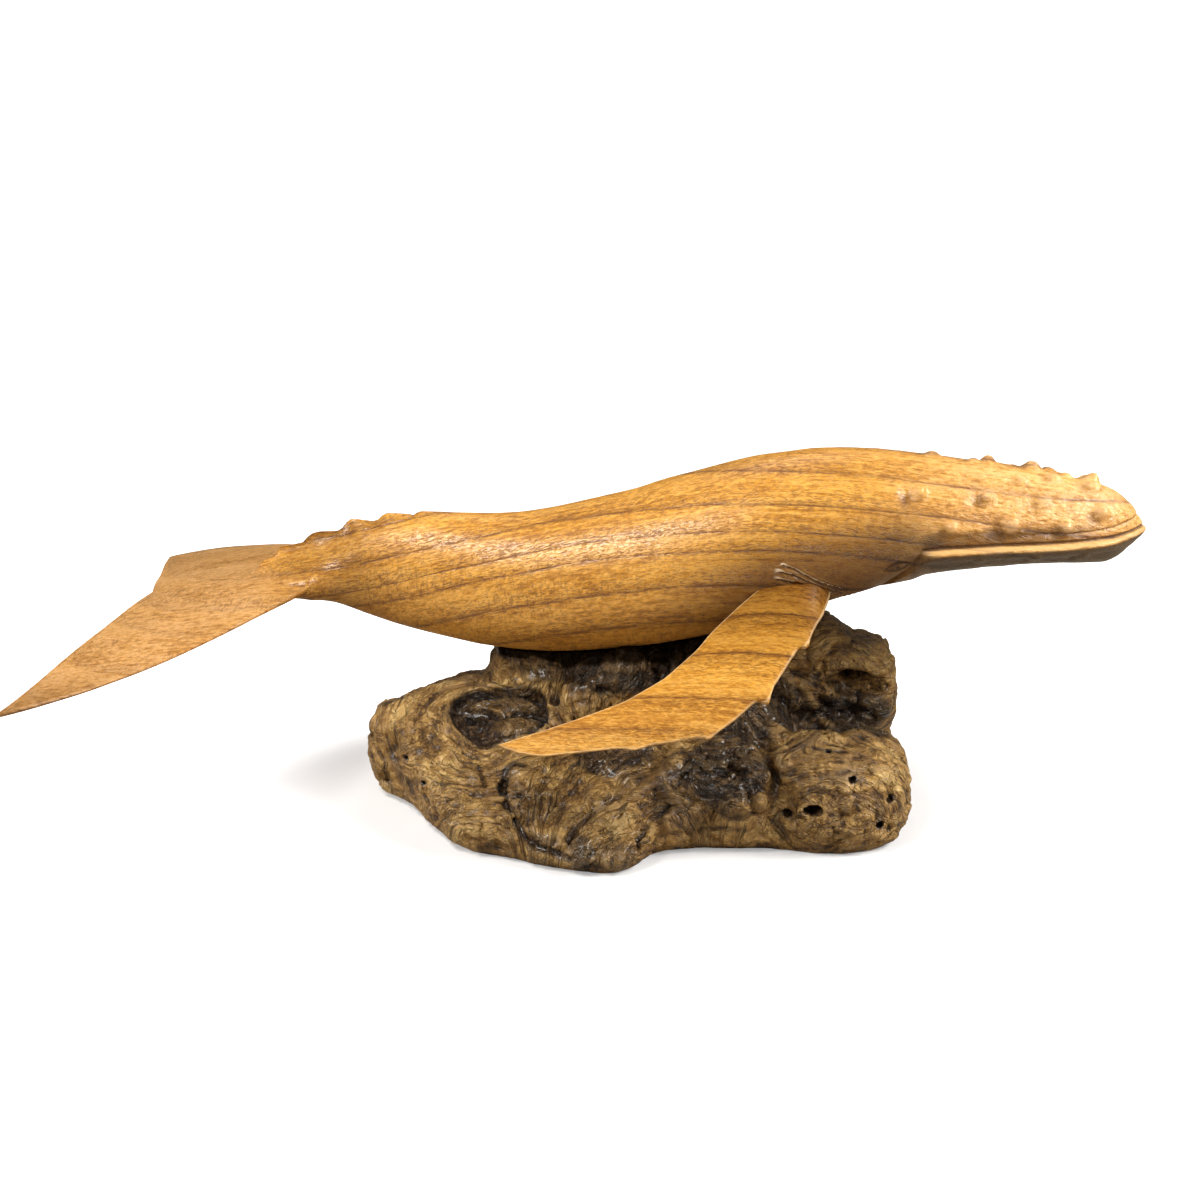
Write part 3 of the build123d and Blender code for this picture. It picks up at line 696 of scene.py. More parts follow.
def root_details(p, d):
    """Hollows, folds, cracks and strands, only near the surface."""
    # knot hollow in the left lobe: a crisp-edged window with two smooth plates of dark wood in it
    a, b, c = knot_plane(p)
    sd = outline(a, b, KNOT_EDGE)
    on = (np.abs(c) < 9)
    inside = smooth(0.5, -0.9, sd) * on
    d = d + 4.6 * inside
    plate = outline(a, b, KNOT_PLATE)
    d = d - 2.6 * smooth(0.7, -1.6, plate) * on
    roll = np.sqrt(((a - 5.5) / 10.5) ** 2 + ((b + 3.4) / 5.4) ** 2)
    d = d - 3.0 * np.sqrt(np.clip(1 - roll ** 2, 0, 1)) * on
    d = d - 1.2 * np.exp(-((b - 8.0 + 0.2 * a) / 0.7) ** 2) * (plate < -1) * on * 0.6
    wrink = ridged(np.stack([a / 7.0, b / 2.6, 0 * a], -1), 2, 211)
    d = d - 0.9 * wrink * inside * smooth(3, -5, b + 0.3 * a)
    hole = np.sqrt(((a + 13.2) / 2.5) ** 2 + ((b - 1.6) / 2.1) ** 2)
    d = d + 3.6 * smooth(1.2, 0.6, hole) * on
    # hollows: centre, half axes, edge
    for hc, hr, k in (
        ((94, -8.0, 46.5), (12.0, 7.0, 6.0), 1.6), ((96, -5.5, 48.8), (6.8, 11.0, 3.0), 0.7),   # eye of the rear knuckle
        ((92, -12, 38.0), (11, 7, 4.5), 2.0),
        ((70, -8.5, 42.5), (2.6, 6, 3.0), 0.8),
        ((24.5, -17.5, 54), (6.5, 8, 7), 2.0), ((34.5, -15, 53), (5.5, 8, 8), 2.0), ((-2.5, -17.0, 56), (4.0, 5, 7), 1.5),
        ((51, -53.0, 29.5), (8.0, 6.0, 3.2), 1.4), ((62.5, -38, 34), (4.0, 5.0, 3.5), 1.2),
    ):
        d = smax(d, -ellipsoid(p, hc, hr), k)
    # swellings
    for hc, hr, k in (
        ((50.7, -54.6, 19.8), (5.4, 4.4, 4.2), 1.2), ((58.8, -53.6, 19.2), (4.2, 4.4, 3.8), 1.0), ((65, -27.5, 32.0), (5.6, 5.6, 4.6), 1.2),
        ((10.5, -13.0, 52), (9.2, 6.4, 12), 1.6), ((106.5, -3.5, 34), (4.2, 3.4, 3.2), 0.8), ((-6, -16.0, 40), (9.5, 5.0, 6.5), 1.6),
        ((-28.1, -44.2, 23.9), (5.0, 4.2, 3.4), 1.0), ((-17, -51.5, 20.3), (6.0, 5.0, 3.2), 1.4), ((-21, -60, 15.4), (4.0, 4.0, 3.2), 1.0),
    ):
        d = smin(d, ellipsoid(p, hc, hr), k)
    for line, wide, deep in CUTS:
        q, _ = chain(p, line)
        d = d + deep * np.exp(-(q / wide) ** 2)
    for line, wide, high in STRANDS:
        q, _ = chain(p, line)
        d = d - high * np.exp(-(q / wide) ** 2)
    return d


# Holes, cut last so that nothing fills them: centre, half axes
HOLES = [
    ((78.2, -57.0, 18.3), (3.6, 7.0, 2.1)), ((-32.3, -50.0, 21.5), (2.0, 5.0, 2.6)), ((-16.2, -18.2, 42.4), (2.4, 5.0, 2.3)), ((69, -56.0, 16.2), (2.2, 4.0, 1.5)),
    ((106, -50.0, 20.0), (1.5, 3.5, 1.3)), ((92, -53.0, 28.8), (1.7, 3.5, 1.4)), ((-62, -44.5, 19.5), (1.3, 3.0, 1.2)),
    ((102, -53.0, 12), (1.4, 3.5, 1.2)), ((-70.5, -32.5, 24), (1.2, 2.5, 1.2)), ((84, -41.5, 34.5), (1.4, 1.4, 3.0)),
]


def near_to(p, c, r):
    return 1 - smooth(0.55, 1.15, np.sqrt((((p - c) / np.array(r, np.float32)) ** 2).sum(-1)))


def root_gnarl(p):
    """Slow swells and scattered pits of the weathered root, outward positive."""
    w = np.stack([fbm(p / 19.0, 2, 101), fbm(p / 19.0 + 31.7, 2, 111), fbm(p / 19.0 + 67.1, 2, 121)], -1)
    q = p + 9.0 * w
    lumps = 1.5 * fbm(q / 15.0, 2, 131) + 0.9 * (1 - 2.2 * np.abs(noise3(q / 11.0, 133)))
    lumps = lumps * (1 - 0.5 * near_to(p, (97, 4, 52), (22, 18, 12)))
    bub = near_to(p, (-20, -54, 19), (22, 16, 14)) + near_to(p, (-6, -18, 40), (12, 8, 9)) + 0.6 * near_to(p, (64, -26, 30), (14, 16, 14))
    bubbles = 0.9 * np.clip(bub, 0, 1) * (1 - 2.4 * np.abs(noise3(q / 4.0, 147)))
    pits = -1.3 * smooth(0.50, 0.72, noise3(q / 4.4, 151))
    calm = 1 - 0.6 * near_to(p, (-36, -21, 34), (19, 14, 10)) - 0.4 * near_to(p, (0, -12, 52), (34, 14, 12))
    wear_and_ridge_highlight = 1 - 0.65 * near_to(p, (-62, -20, 30), (28, 24, 16))
    wrinkle = 0.45 - 1.5 * np.exp(-(noise3(q / np.array([8.0, 8.0, 6.0], np.float32), 153) / 0.11) ** 2)
    ragged = 0.85 * fbm(p / 5.0, 2, 157)
    return (0.75 * lumps + bubbles + 0.6 * pits + wear_and_ridge_highlight * (0.8 * wrinkle + ragged)) * calm


# How the grain runs: (kind, centre, direction or normal, squash, weight centre, weight radii)
FLOW = [
    ("round", (-36, -21, 36.5), (-0.11, -0.46, 0.88), 1.25, (-56, -28, 24), (38, 44, 30)),
    ("line", (12, -54, 18), (0.77, 0.42, 0.48), (0, -0.75, 0.66), (12, -54, 18), (30, 22, 20)),
    ("round", (46, -53, 18), (0, -0.8, 0.6), 1.4, (47, -44, 26), (24, 24, 20)),
    ("round", (81, -58, 14), (0, -0.85, 0.5), 1.5, (88, -42, 20), (32, 30, 26)),
    ("round", (94, -8, 46.5), (0, -1.0, 0.2), 2.4, (94, 4, 46), (32, 24, 26)),
    ("line", (70, -20, 36), (0.45, -0.8, -0.3), (0, -0.4, 0.9), (70, -20, 36), (16, 20, 16)),
    ("line", (0, -12, 50), (0.15, 0, 1.0), (0, -1, 0), (0, -12, 50), (44, 16, 18)),
    ("line", (0, 40, 30), (1.0, 0, 0), (0, 0.5, 0.8), (0, 46, 26), (130, 34, 50)),
]


def grain_flow(v):
    """Coordinates along (two) and across (one) the grain, in mm."""
    v = v + 3.2 * np.stack([fbm(v / 15.0, 2, 301), fbm(v / 15.0 + 40, 2, 311), fbm(v / 15.0 + 80, 2, 321)], 1)
    total, acc = 1e-6, 0
    for kind, c, d, extra, wc, wr in FLOW:
        q = v - np.array(c, float)
        if kind == "line":
            along = np.array(d, float) / np.linalg.norm(d)
            n = np.array(extra, float)
            n = n - along * (n @ along)
            n /= np.linalg.norm(n)
            bend = q @ along
            f = np.stack([bend, 0.5 * (q @ n), q @ np.cross(n, along) + 0.004 * bend ** 2], 1)
        else:
            n = np.array(d, float) / np.linalg.norm(d)
            e1 = np.cross((0, 1, 0.001), n)
            e1 = e1 / np.linalg.norm(e1)
            e1 = e1 if e1[0] > 0 else -e1
            a, b = (q @ e1) / extra, q @ np.cross(n, e1)
            r = np.sqrt(a * a + b * b) + 1e-6
            f = np.stack([24 * a / r, 24 * b / r, r], 1)
        w = np.exp(-2.2 * (((v - wc) / np.array(wr, float)) ** 2).sum(1))[:, None] + 1e-5
        acc, total = acc + w * f, total + w
    return acc / total


def seat_clearance(p):
    x, y, z = p[..., 0], p[..., 1], p[..., 2]
    lo, mi, hi, w = section(np.clip(x, -120, 180))
    k = np.sqrt((y / w) ** 2 + ((z - mi) / np.maximum(mi - lo, 1)) ** 2)
    return (k - 1) * np.minimum(w, mi - lo)


def root_field(p):
    x, y, z = p[..., 0], p[..., 1], p[..., 2]
    d = root_masses(p)
    o = outline(x, y, FLOOR_LINE)
    bulge = 3.0 * np.clip(np.sin(np.clip(z / 22, 0, 1) * math.pi), 0, 1) ** 0.8 - 2.0 * np.clip((4 - z) / 4, 0, 1)
    bulge = bulge - 5.0 * smooth(-45, -75, x) * smooth(24, 6, z) * smooth(20, -10, y)
    d = smax(d, o - bulge, 4)
    near = np.abs(d) < 10
    pn = p[near]
    dn = root_details(pn, d[near]) - root_gnarl(pn) * smooth(-1, 6, pn[:, 2])
    for hc, hr in HOLES:
        dn = smax(dn, -2.4 * ellipsoid(pn, hc, hr), 0.5)
    d[near] = dn
    d = smax(d, -z, 0.4)
    return smax(d, -(seat_clearance(p) - 0.55), 0.8)


def surface_nets(vol, origin, h):
    """Quads of the zero level of a sampled field (negative inside)."""
    nx, ny, nz = vol.shape
    neg = vol < 0
    corners = [(0, 0, 0), (1, 0, 0), (0, 1, 0), (1, 1, 0), (0, 0, 1), (1, 0, 1), (0, 1, 1), (1, 1, 1)]
    cnt = np.zeros((nx - 1, ny - 1, nz - 1), np.int8)
    for dx, dy, dz in corners:
        cnt += neg[dx:nx - 1 + dx, dy:ny - 1 + dy, dz:nz - 1 + dz]
    act = (cnt > 0) & (cnt < 8)
    ci = np.argwhere(act)
    idx = np.full(act.shape, -1, np.int64)
    idx[act] = np.arange(len(ci))
    val = [vol[ci[:, 0] + dx, ci[:, 1] + dy, ci[:, 2] + dz] for dx, dy, dz in corners]
    acc, num = np.zeros((len(ci), 3)), np.zeros(len(ci))
    for a in range(8):
        for b in range(a + 1, 8):
            ca, cb = np.array(corners[a]), np.array(corners[b])
            if np.abs(ca - cb).sum() != 1:
                continue
            cross = (val[a] < 0) != (val[b] < 0)
            t = np.where(cross, val[a] / np.where(cross, val[a] - val[b], 1), 0)
            acc += np.where(cross[:, None], ca + t[:, None] * (cb - ca), 0)
            num += cross
    verts = np.array(origin) + h * (ci + acc / num[:, None])
    quads = []
    for ax in range(3):
        s0, s1 = [slice(None)] * 3, [slice(None)] * 3
        s0[ax], s1[ax] = slice(0, -1), slice(1, None)
        a, b = neg[tuple(s0)], neg[tuple(s1)]
        e = np.argwhere(a != b)
        u, v = (ax + 1) % 3, (ax + 2) % 3
        e = e[(e[:, u] > 0) & (e[:, v] > 0) & (e[:, u] < vol.shape[u] - 1) & (e[:, v] < vol.shape[v] - 1)]
        flip = a[e[:, 0], e[:, 1], e[:, 2]]

        def at(du, dv):
            c = e.copy()
            c[:, u] += du
            c[:, v] += dv
            return idx[c[:, 0], c[:, 1], c[:, 2]]

        q = np.stack([at(-1, -1), at(0, -1), at(0, 0), at(-1, 0)], 1)
        q[~flip] = q[~flip][:, ::-1]
        quads.append(q)
    return verts, np.concatenate(quads)


def keep_largest(verts, quads):
    """Drops loose crumbs that the gnarl may leave beside the main body."""
    label = np.arange(len(verts))
    for _ in range(400):
        low = label[quads].min(1)
        new = label.copy()
        for c in range(4):
            np.minimum.at(new, quads[:, c], low)
        new = new[new]
        if (new == label).all():
            break
        label = new
    ids, count = np.unique(label, return_counts=True)
    keep = label == ids[count.argmax()]
    remap = np.cumsum(keep) - 1
    q = quads[keep[quads].all(1)]
    return verts[keep], remap[q]


def root_object():
    h = 1.03
    xs, ys, zs = np.arange(-97, 126, h), np.arange(-84, 67, h), np.arange(-2.6, 71, h)
    p = np.stack(np.meshgrid(xs, ys, zs, indexing="ij"), -1).astype(np.float32)
    v, q = surface_nets(root_field(p), (xs[0], ys[0], zs[0]), h)
    v, q = keep_largest(v, q)
    v[:, 2] = np.maximum(v[:, 2], 0.0)
    ob = new_object("root_wood", v, q)
    # hollows: how far a vertex lies below its smoothed surroundings
    edges = np.concatenate([q[:, [0, 1]], q[:, [1, 2]], q[:, [2, 3]], q[:, [3, 0]]])
    deg = np.bincount(edges.ravel(), minlength=len(v))[:, None]
    nrm = normals(ob)
    sm, cav = v.copy(), []
    for it in range(1, 61):
        acc = np.stack([np.bincount(edges[:, 0], sm[edges[:, 1], c], len(v)) + np.bincount(edges[:, 1], sm[edges[:, 0], c], len(v)) for c in range(3)], 1)
        sm = acc / deg
        if it in (4, 60):
            cav.append(((sm - v) * nrm).sum(1))
    # the grain stands up in ridges that follow its flow
    flow = grain_flow(v)
    ribs = ridged(flow / np.array([12.0, 12.0, 4.6]), 2, 161)
    wires = ridged(flow / np.array([6.5, 6.5, 2.4]), 1, 165)
    calm = 1 - 0.45 * near_to(v, (-62, -24, 28), (34, 34, 24))
    fine = v + nrm * ((0.48 * ribs + 0.16 * wires) * calm + 0.26 * fbm(v / 2.0, 1, 171))[:, None] * smooth(0.5, 4, v[:, 2])[:, None]
    fine = np.where((seat_clearance(fine) < 0.35)[:, None], v, fine)
    fine[:, 2] = np.maximum(fine[:, 2], 0.0)
    ob.data.vertices.foreach_set("co", (fine * MM).astype(np.float32).ravel())
    ob.data.update()
    for axis_, name_ in enumerate(("flow_a", "flow_b", "flow_c")):
        attribute(ob, name_, flow[:, axis_] * MM)
    attribute(ob, "pit", np.clip((cav[0] - 0.30 * ribs * calm) / 0.7, -1, 1) * 0.5 + 0.5)
    attribute(ob, "hollow", np.clip(cav[1] / 3.0, -1, 1) * 0.5 + 0.5)
    # where the wood is darker: centre, radii, weight; partly the root's own dark stain, partly painted shade under the
    # belly and fin and in the hollows
    warp = v + 4.0 * np.stack([fbm(v / 13.0, 2, 181), fbm(v / 13.0 + 40, 2, 191), fbm(v / 13.0 + 80, 2, 201)], 1)
    dark = np.zeros(len(v))
    for c, r, wgt in (
        ((10, -10, 54), (34, 18, 14), 1.0), ((-18, -4, 54), (22, 16, 9), 0.6), ((48, -46, 26), (20, 17, 14), 1.0), ((54, -22, 38), (16, 18, 16), 1.12),
        ((68, -14, 36), (16, 14, 16), 1.12), ((88, -2, 48), (30, 18, 18), 0.14), ((42, -10, 54), (22, 12, 12), 1.0), ((96, -7, 36), (22, 8, 10), 0.85), ((94, -16, 32), (24, 9, 6), 0.8),
        ((-1, -72, 8), (7, 6, 7), 0.9), ((14, -58, 12), (34, 20, 16), 0.30), ((6, -74, 8), (18, 7, 9), 0.55), ((-16, -69, 9), (10, 6, 5), 0.6), ((-27, -46, 24), (8, 7, 6), 0.85), ((-19, -56, 18), (14, 11, 9), 0.55), ((22, -46, 24), (16, 14, 9), 0.5), ((34, -52, 15), (16, 10, 14), 0.55),
        ((10, -38, 30), (26, 10, 8), 0.75), ((-10, -32, 31), (20, 9, 7), 0.6),
        ((-78, -9, 34), (9, 6, 4), 0.6), ((76, 30, 40), (40, 30, 26), 0.5), ((0, 40, 30), (60, 22, 14), 0.6), ((0, 20, 52), (48, 16, 12), 0.8),
    ):
        e = np.sqrt((((warp - c) / np.array(r)) ** 2).sum(1))
        dark = np.maximum(dark, wgt * (1 - smooth(0.6, 1.15, e)))
    # painted shadow: the root turns black where it lies close under the belly
    reach = 5.0 + 9.0 * smooth(-24, -8, v[:, 0]) * smooth(70, 52, v[:, 0])
    under = smooth(1.0, 0.3, (seat_clearance(v) + 2.0 * fbm(v / 6.0, 2, 221)) / reach) * smooth(34, 42, v[:, 2])
    dark = np.maximum(dark, 1.5 * under)
    a, b, c = knot_plane(v)
    sd, near_knot = outline(a, b, KNOT_EDGE), np.abs(c) < 9
    roll = np.sqrt(((a - 5.5) / 10.5) ** 2 + ((b + 3.4) / 5.4) ** 2)
    paler = np.maximum(smooth(0.5, -1.5, outline(a, b, KNOT_PLATE)), smooth(1.0, 0.6, roll))
    dark = np.maximum(dark, (0.92 - 0.34 * paler) * smooth(0.9, -0.3, sd) * near_knot)
    dark = np.maximum(dark, 0.98 * np.exp(-((sd + 0.4) / 0.8) ** 2) * near_knot * smooth(-14, -4, a + 0.5 * b))
    # painted shade along the cuts
    for line, wide, deep in CUTS:
        q_, _ = chain(v.astype(np.float32), line)
        dark = np.maximum(dark, min(1.0, 0.45 + 0.2 * deep) * np.exp(-(q_ / (1.25 * wide)) ** 2))
    # painted shade: the holes are black inside
    for hc, hr in HOLES:
        e = np.sqrt((((v - hc) / np.array(hr)) ** 2).sum(1))
        dark = np.maximum(dark, 1.6 * (1 - smooth(0.85, 1.2, e)))
    attribute(ob, "dark", np.clip(dark, 0, 1.6))
    return ob


root = root_object()


# ============================================================== materials
class Nodes:
    """Small helper for writing node trees."""

    def __init__(self, name):
        self.mat = bpy.data.materials.new(name)
        self.mat.use_nodes = True
        self.t = self.mat.node_tree
        self.t.nodes.clear()
        self.out = self.t.nodes.new("ShaderNodeOutputMaterial")
        self.bsdf = self.t.nodes.new("ShaderNodeBsdfPrincipled")
        self.t.links.new(self.bsdf.outputs[0], self.out.inputs[0])

    def put(self, sock, value):
        if isinstance(value, bpy.types.NodeSocket):
            self.t.links.new(value, sock)
        else:
            sock.default_value = value

    def attr(self, name):
        n = self.t.nodes.new("ShaderNodeAttribute")
        n.attribute_name = name
        return n.outputs["Fac"]

    def obj(self):
        return self.t.nodes.new("ShaderNodeTexCoord").outputs["Object"]

    def math(self, op, a, b=0.0, c=0.0, clamp=False):
        n = self.t.nodes.new("ShaderNodeMath")
        n.operation, n.use_clamp = op, clamp
        for s, v in zip(n.inputs, (a, b, c)):
            self.put(s, v)
        return n.outputs[0]

    def scale(self, vec, xyz):
        n = self.t.nodes.new("ShaderNodeVectorMath")
        n.operation = "MULTIPLY"
        self.put(n.inputs[0], vec)
        n.inputs[1].default_value = xyz
        return n.outputs[0]

    def sep(self, vec):
        n = self.t.nodes.new("ShaderNodeSeparateXYZ")
        self.put(n.inputs[0], vec)
        return n.outputs

    def comb(self, x, y, z):
        n = self.t.nodes.new("ShaderNodeCombineXYZ")
        for s, v in zip(n.inputs, (x, y, z)):
            self.put(s, v)
        return n.outputs[0]

    def noise(self, vec, scale=1.0, detail=2.0, rough=0.5, distort=0.0):
        n = self.t.nodes.new("ShaderNodeTexNoise")
        self.put(n.inputs["Vector"], vec)
        n.inputs["Scale"].default_value = scale
        n.inputs["Detail"].default_value = detail
        n.inputs["Roughness"].default_value = rough
        n.inputs["Distortion"].default_value = distort
        return n.outputs[0]

    def voronoi(self, vec, scale=1.0, feature="F1"):
        n = self.t.nodes.new("ShaderNodeTexVoronoi")
        n.feature = feature
        self.put(n.inputs["Vector"], vec)
        n.inputs["Scale"].default_value = scale
        return n.outputs["Distance"]

    def remap(self, v, a, b, c=0.0, d=1.0):
        n = self.t.nodes.new("ShaderNodeMapRange")
        n.interpolation_type = "SMOOTHSTEP"
        for s, q in zip(n.inputs[:5], (v, a, b, c, d)):
            self.put(s, q)
        return n.outputs[0]

    def ramp(self, v, stops, mode="LINEAR"):
        n = self.t.nodes.new("ShaderNodeValToRGB")
        n.color_ramp.interpolation = mode
        el = n.color_ramp.elements
        while len(el) > 1:
            el.remove(el[-1])
        for k, (pos, col) in enumerate(stops):
            e = el[0] if k == 0 else el.new(pos)
            e.position = pos
            e.color = (*col, 1) if len(col) == 3 else col
        self.put(n.inputs[0], v)
        return n.outputs[0]

    def mix(self, f, a, b, mode="MIX"):
        n = self.t.nodes.new("ShaderNodeMix")
        n.data_type, n.blend_type = "RGBA", mode
        self.put(n.inputs[0], f)
        for s, v in ((n.inputs[6], a), (n.inputs[7], b)):
            self.put(s, (*v, 1) if isinstance(v, tuple) and len(v) == 3 else v)
        return n.outputs[2]

    def bump(self, height, strength, dist, normal=None):
        n = self.t.nodes.new("ShaderNodeBump")
        n.inputs["Strength"].default_value = strength
        n.inputs["Distance"].default_value = dist
        self.put(n.inputs["Height"], height)
        if normal is not None:
            self.put(n.inputs["Normal"], normal)
        return n.outputs[0]


def grey(v):
    return (v, v, v)


def carved_wood(name, light, mid, deep, line, rough, spec, flecks):
    """Oiled, open-pored timber: growth layers follow the ring attributes, fibres run along X."""
    k = Nodes(name)
    x, y, z = k.sep(k.obj())
    u, v = k.attr("ringu"), k.attr("ringv")
    head, fluke = k.attr("head"), k.attr("fluke")
    g = k.comb(x, y, u)                                     # fibre space: X along the fibre, the layers along Z
    warp = k.noise(k.scale(g, (9, 60, 60)), 1, 3, 0.55)
    warp2 = k.noise(k.scale(g, (80, 800, 800)), 1, 2, 0.5)
    vv = k.math("MULTIPLY_ADD", warp, 0.30, k.math("MULTIPLY_ADD", warp2, 0.07, v))
    f = k.math("FRACT", k.math("ADD", vv, -0.185))
    lines = k.ramp(f, [(0.0, grey(1)), (0.025, grey(0.85)), (0.055, grey(0.42)), (0.13, grey(0.22)), (0.32, grey(0.06)), (0.70, grey(0.0)), (0.93, grey(0.06)), (0.975, grey(0.45)), (1.0, grey(1))])
    gaps = k.remap(k.noise(k.scale(g, (60, 700, 700)), 1, 3, 0.7), 0.38, 0.56, 0.48, 1.0)
    ring = k.math("MULTIPLY", lines, gaps)
    f2 = k.math("FRACT", k.math("MULTIPLY_ADD", vv, 4.3, 0.37))
    thin = k.ramp(f2, [(0.0, grey(0.9)), (0.10, grey(0.3)), (0.3, grey(0)), (0.86, grey(0.1)), (1.0, grey(0.9))])
    thin = k.math("MULTIPLY", thin, k.remap(k.noise(k.scale(g, (40, 420, 420)), 1, 3, 0.65), 0.47, 0.60))
    streak = k.noise(k.scale(g, (30, 760, 760)), 1, 4, 0.66)
    broad = k.noise(k.scale(g, (12, 52, 80)), 1, 3, 0.55)
    mott = k.noise(k.scale(g, (330, 520, 700)), 1, 3, 0.7)
    tone = k.math("ADD", k.math("MULTIPLY", streak, 0.36), k.math("MULTIPLY_ADD", broad, 0.24, k.math("MULTIPLY", mott, 0.40)))
    speck = k.math("ADD", k.math("MULTIPLY", streak, 0.20), k.math("MULTIPLY_ADD", broad, 0.30, k.math("MULTIPLY", mott, 0.50)))
    tone = k.math("MULTIPLY_ADD", k.math("SUBTRACT", speck, tone), k.math("MULTIPLY", head, 0.85), tone)
    col = k.ramp(tone, [(0.412, deep), (0.487, mid), (0.558, light)])
    faint = k.math("MULTIPLY_ADD", fluke, -0.80, 1.0)
    soft = k.math("MULTIPLY_ADD", head, -0.60, 1.0)
    col = k.mix(k.math("MULTIPLY", k.math("MULTIPLY", thin, 0.46), k.math("MULTIPLY", faint, soft)), col, line)
    col = k.mix(k.math("MULTIPLY", k.math("MULTIPLY", ring, 0.92), faint), col, line)
    # open pores: short dark dashes, thickest just after each ring
    early = k.ramp(f, [(0.0, grey(1)), (0.3, grey(0.8)), (0.6, grey(0.5)), (0.85, grey(0.45)), (1.0, grey(1))])
    dash = k.remap(k.noise(k.scale(g, (380, 2000, 2000)), 1, 2, 0.6), 0.55, 0.64)
    dash2 = k.remap(k.noise(k.scale(g, (520, 2600, 2600)), 1, 1, 0.5), 0.55, 0.64)
    pore = k.math("MULTIPLY", k.math("MAXIMUM", dash, k.math("MULTIPLY", dash2, 0.8)), early)
    pore = k.math("MULTIPLY", pore, soft)
    dots = k.math("MULTIPLY", k.remap(k.noise(k.scale(g, (1100, 1700, 1700)), 1, 2, 0.6), 0.57, 0.68), k.math("MULTIPLY", head, 0.55))
    col = k.mix(k.math("MULTIPLY", k.math("MULTIPLY", k.math("MAXIMUM", pore, dots), 0.74), k.math("MULTIPLY_ADD", fluke, -0.6, 1.0)), col, line)
    # ray flecks across the grain low on the flank
    fleck = k.remap(k.noise(k.scale(g, (1250, 260, 330)), 1, 2, 0.55), 0.50, 0.64)
    where = k.remap(k.noise(k.scale(g, (20, 30, 60)), 1, 2, 0.5), 0.46, 0.60)
    low = k.remap(z, 0.098, 0.080, 0.3, 1.0)
    col = k.mix(k.math("MULTIPLY", k.math("MULTIPLY", k.math("MULTIPLY", fleck, where), low), flecks), col, line)
    # the head is a little paler and pinker, partly its own wood and partly a painted highlight for the light on it;
    # the flat of the fluke is a little paler and pinker wood
    col = k.mix(k.math("MULTIPLY", head, 0.62), col, k.mix(1.0, col, (1.20, 1.42, 3.30), "MULTIPLY"))
    col = k.mix(k.math("MULTIPLY", fluke, 0.80), col, k.mix(1.0, col, (0.82, 0.90, 2.00), "MULTIPLY"))
    # painted shade in the dish on the tail side of each knob of the head and in a band above the lip, and a painted
    # highlight on each knob's top
    col = k.mix(k.math("MULTIPLY", k.attr("knob_dish_shade"), 0.80), col, k.mix(1.0, col, (0.34, 0.29, 0.22), "MULTIPLY"))
    col = k.mix(k.math("MULTIPLY", k.attr("lip_shade"), 0.92), col, k.mix(1.0, col, (0.24, 0.19, 0.08), "MULTIPLY"))
    col = k.mix(k.math("MULTIPLY", k.attr("knob_highlight"), 0.32), col, (0.95, 0.64, 0.34))
    # painted shade, as darker, redder wood, low on the front body and throat, under the jaw, at the fin roots and on
    # the tail stock; the fluke tips are darker wood
    dim = k.mix(1.0, col, (0.29, 0.245, 0.165), "MULTIPLY")
    jaw_shade = k.mix(1.0, k.mix(0.45, col, (0.42, 0.30, 0.18)), (0.095, 0.086, 0.074), "MULTIPLY")
    col = k.mix(k.attr("tone"), col, k.mix(k.math("MULTIPLY", head, 1.6, clamp=True), dim, jaw_shade))
    # the lip band is a painted highlight where it faces up; the cuts of mouth, pleats and lids and the pupil are dark
    # with painted shade; the ridges between the pleats are pale, partly paler cut wood and partly painted highlight
    lip = k.attr("lip_a")
    band = k.math("MULTIPLY", k.remap(lip, -1.0, -0.6), k.remap(lip, 0.55, 0.15))
    band = k.math("MULTIPLY", band, k.attr("lip_on"))
    col = k.mix(k.math("MULTIPLY", band, 0.70), col, k.mix(streak, (0.60, 0.33, 0.10), (0.95, 0.62, 0.28)))
    side = k.math("SUBTRACT", k.math("FRACT", k.math("ADD", k.attr("pleat"), 0.5)), 0.5)
    frac = k.math("ABSOLUTE", side)
    on = k.attr("pleat_on")
    pale = k.math("MULTIPLY", k.math("MULTIPLY", k.remap(side, -0.46, -0.38), k.remap(side, -0.08, -0.14)), on)
    col = k.mix(k.math("MULTIPLY", pale, 0.95), col, (1.0, 0.80, 0.56))
    # painted highlight along the edges of the fin blade
    edge = k.remap(k.attr("edge"), 0.60, 0.25)
    col = k.mix(k.math("MULTIPLY", edge, k.math("MULTIPLY_ADD", fluke, -0.3, 0.44)), col, (0.92, 0.66, 0.36))
    cut = k.math("MULTIPLY", k.remap(k.math("ABSOLUTE", k.math("SUBTRACT", lip, 0.95)), 0.85, 0.3), k.math("MULTIPLY", k.attr("lip_on"), 0.9))
    cut = k.math("MAXIMUM", cut, k.math("MULTIPLY", k.remap(k.math("ABSOLUTE", k.attr("lip_b")), 0.5, 0.15), k.math("MULTIPLY", k.attr("lip_two"), 0.55)))
    cut = k.math("MAXIMUM", cut, k.math("MULTIPLY", k.remap(frac, 0.17, 0.08), on))
    rim = k.math("ABSOLUTE", k.math("SUBTRACT", k.attr("eye_rim"), 1.0))
    cut = k.math("MAXIMUM", cut, k.math("MULTIPLY", k.remap(rim, 0.40, 0.10), 0.85))
    inner = k.remap(k.attr("eye_rim"), 0.95, 0.75)
    cut = k.math("MAXIMUM", cut, k.math("MULTIPLY", inner, 0.35))
    cut = k.math("MAXIMUM", cut, k.remap(k.attr("eye_ball"), 1.05, 0.7))
    col = k.mix(k.math("MULTIPLY", cut, 0.88), col, (0.070, 0.030, 0.012))
    k.put(k.bsdf.inputs["Base Color"], col)
    k.put(k.bsdf.inputs["Roughness"], k.remap(k.math("ADD", k.math("MULTIPLY", pore, 0.5), k.math("MULTIPLY", streak, 0.6)), 0.1, 0.9, rough - 0.07, rough + 0.16))
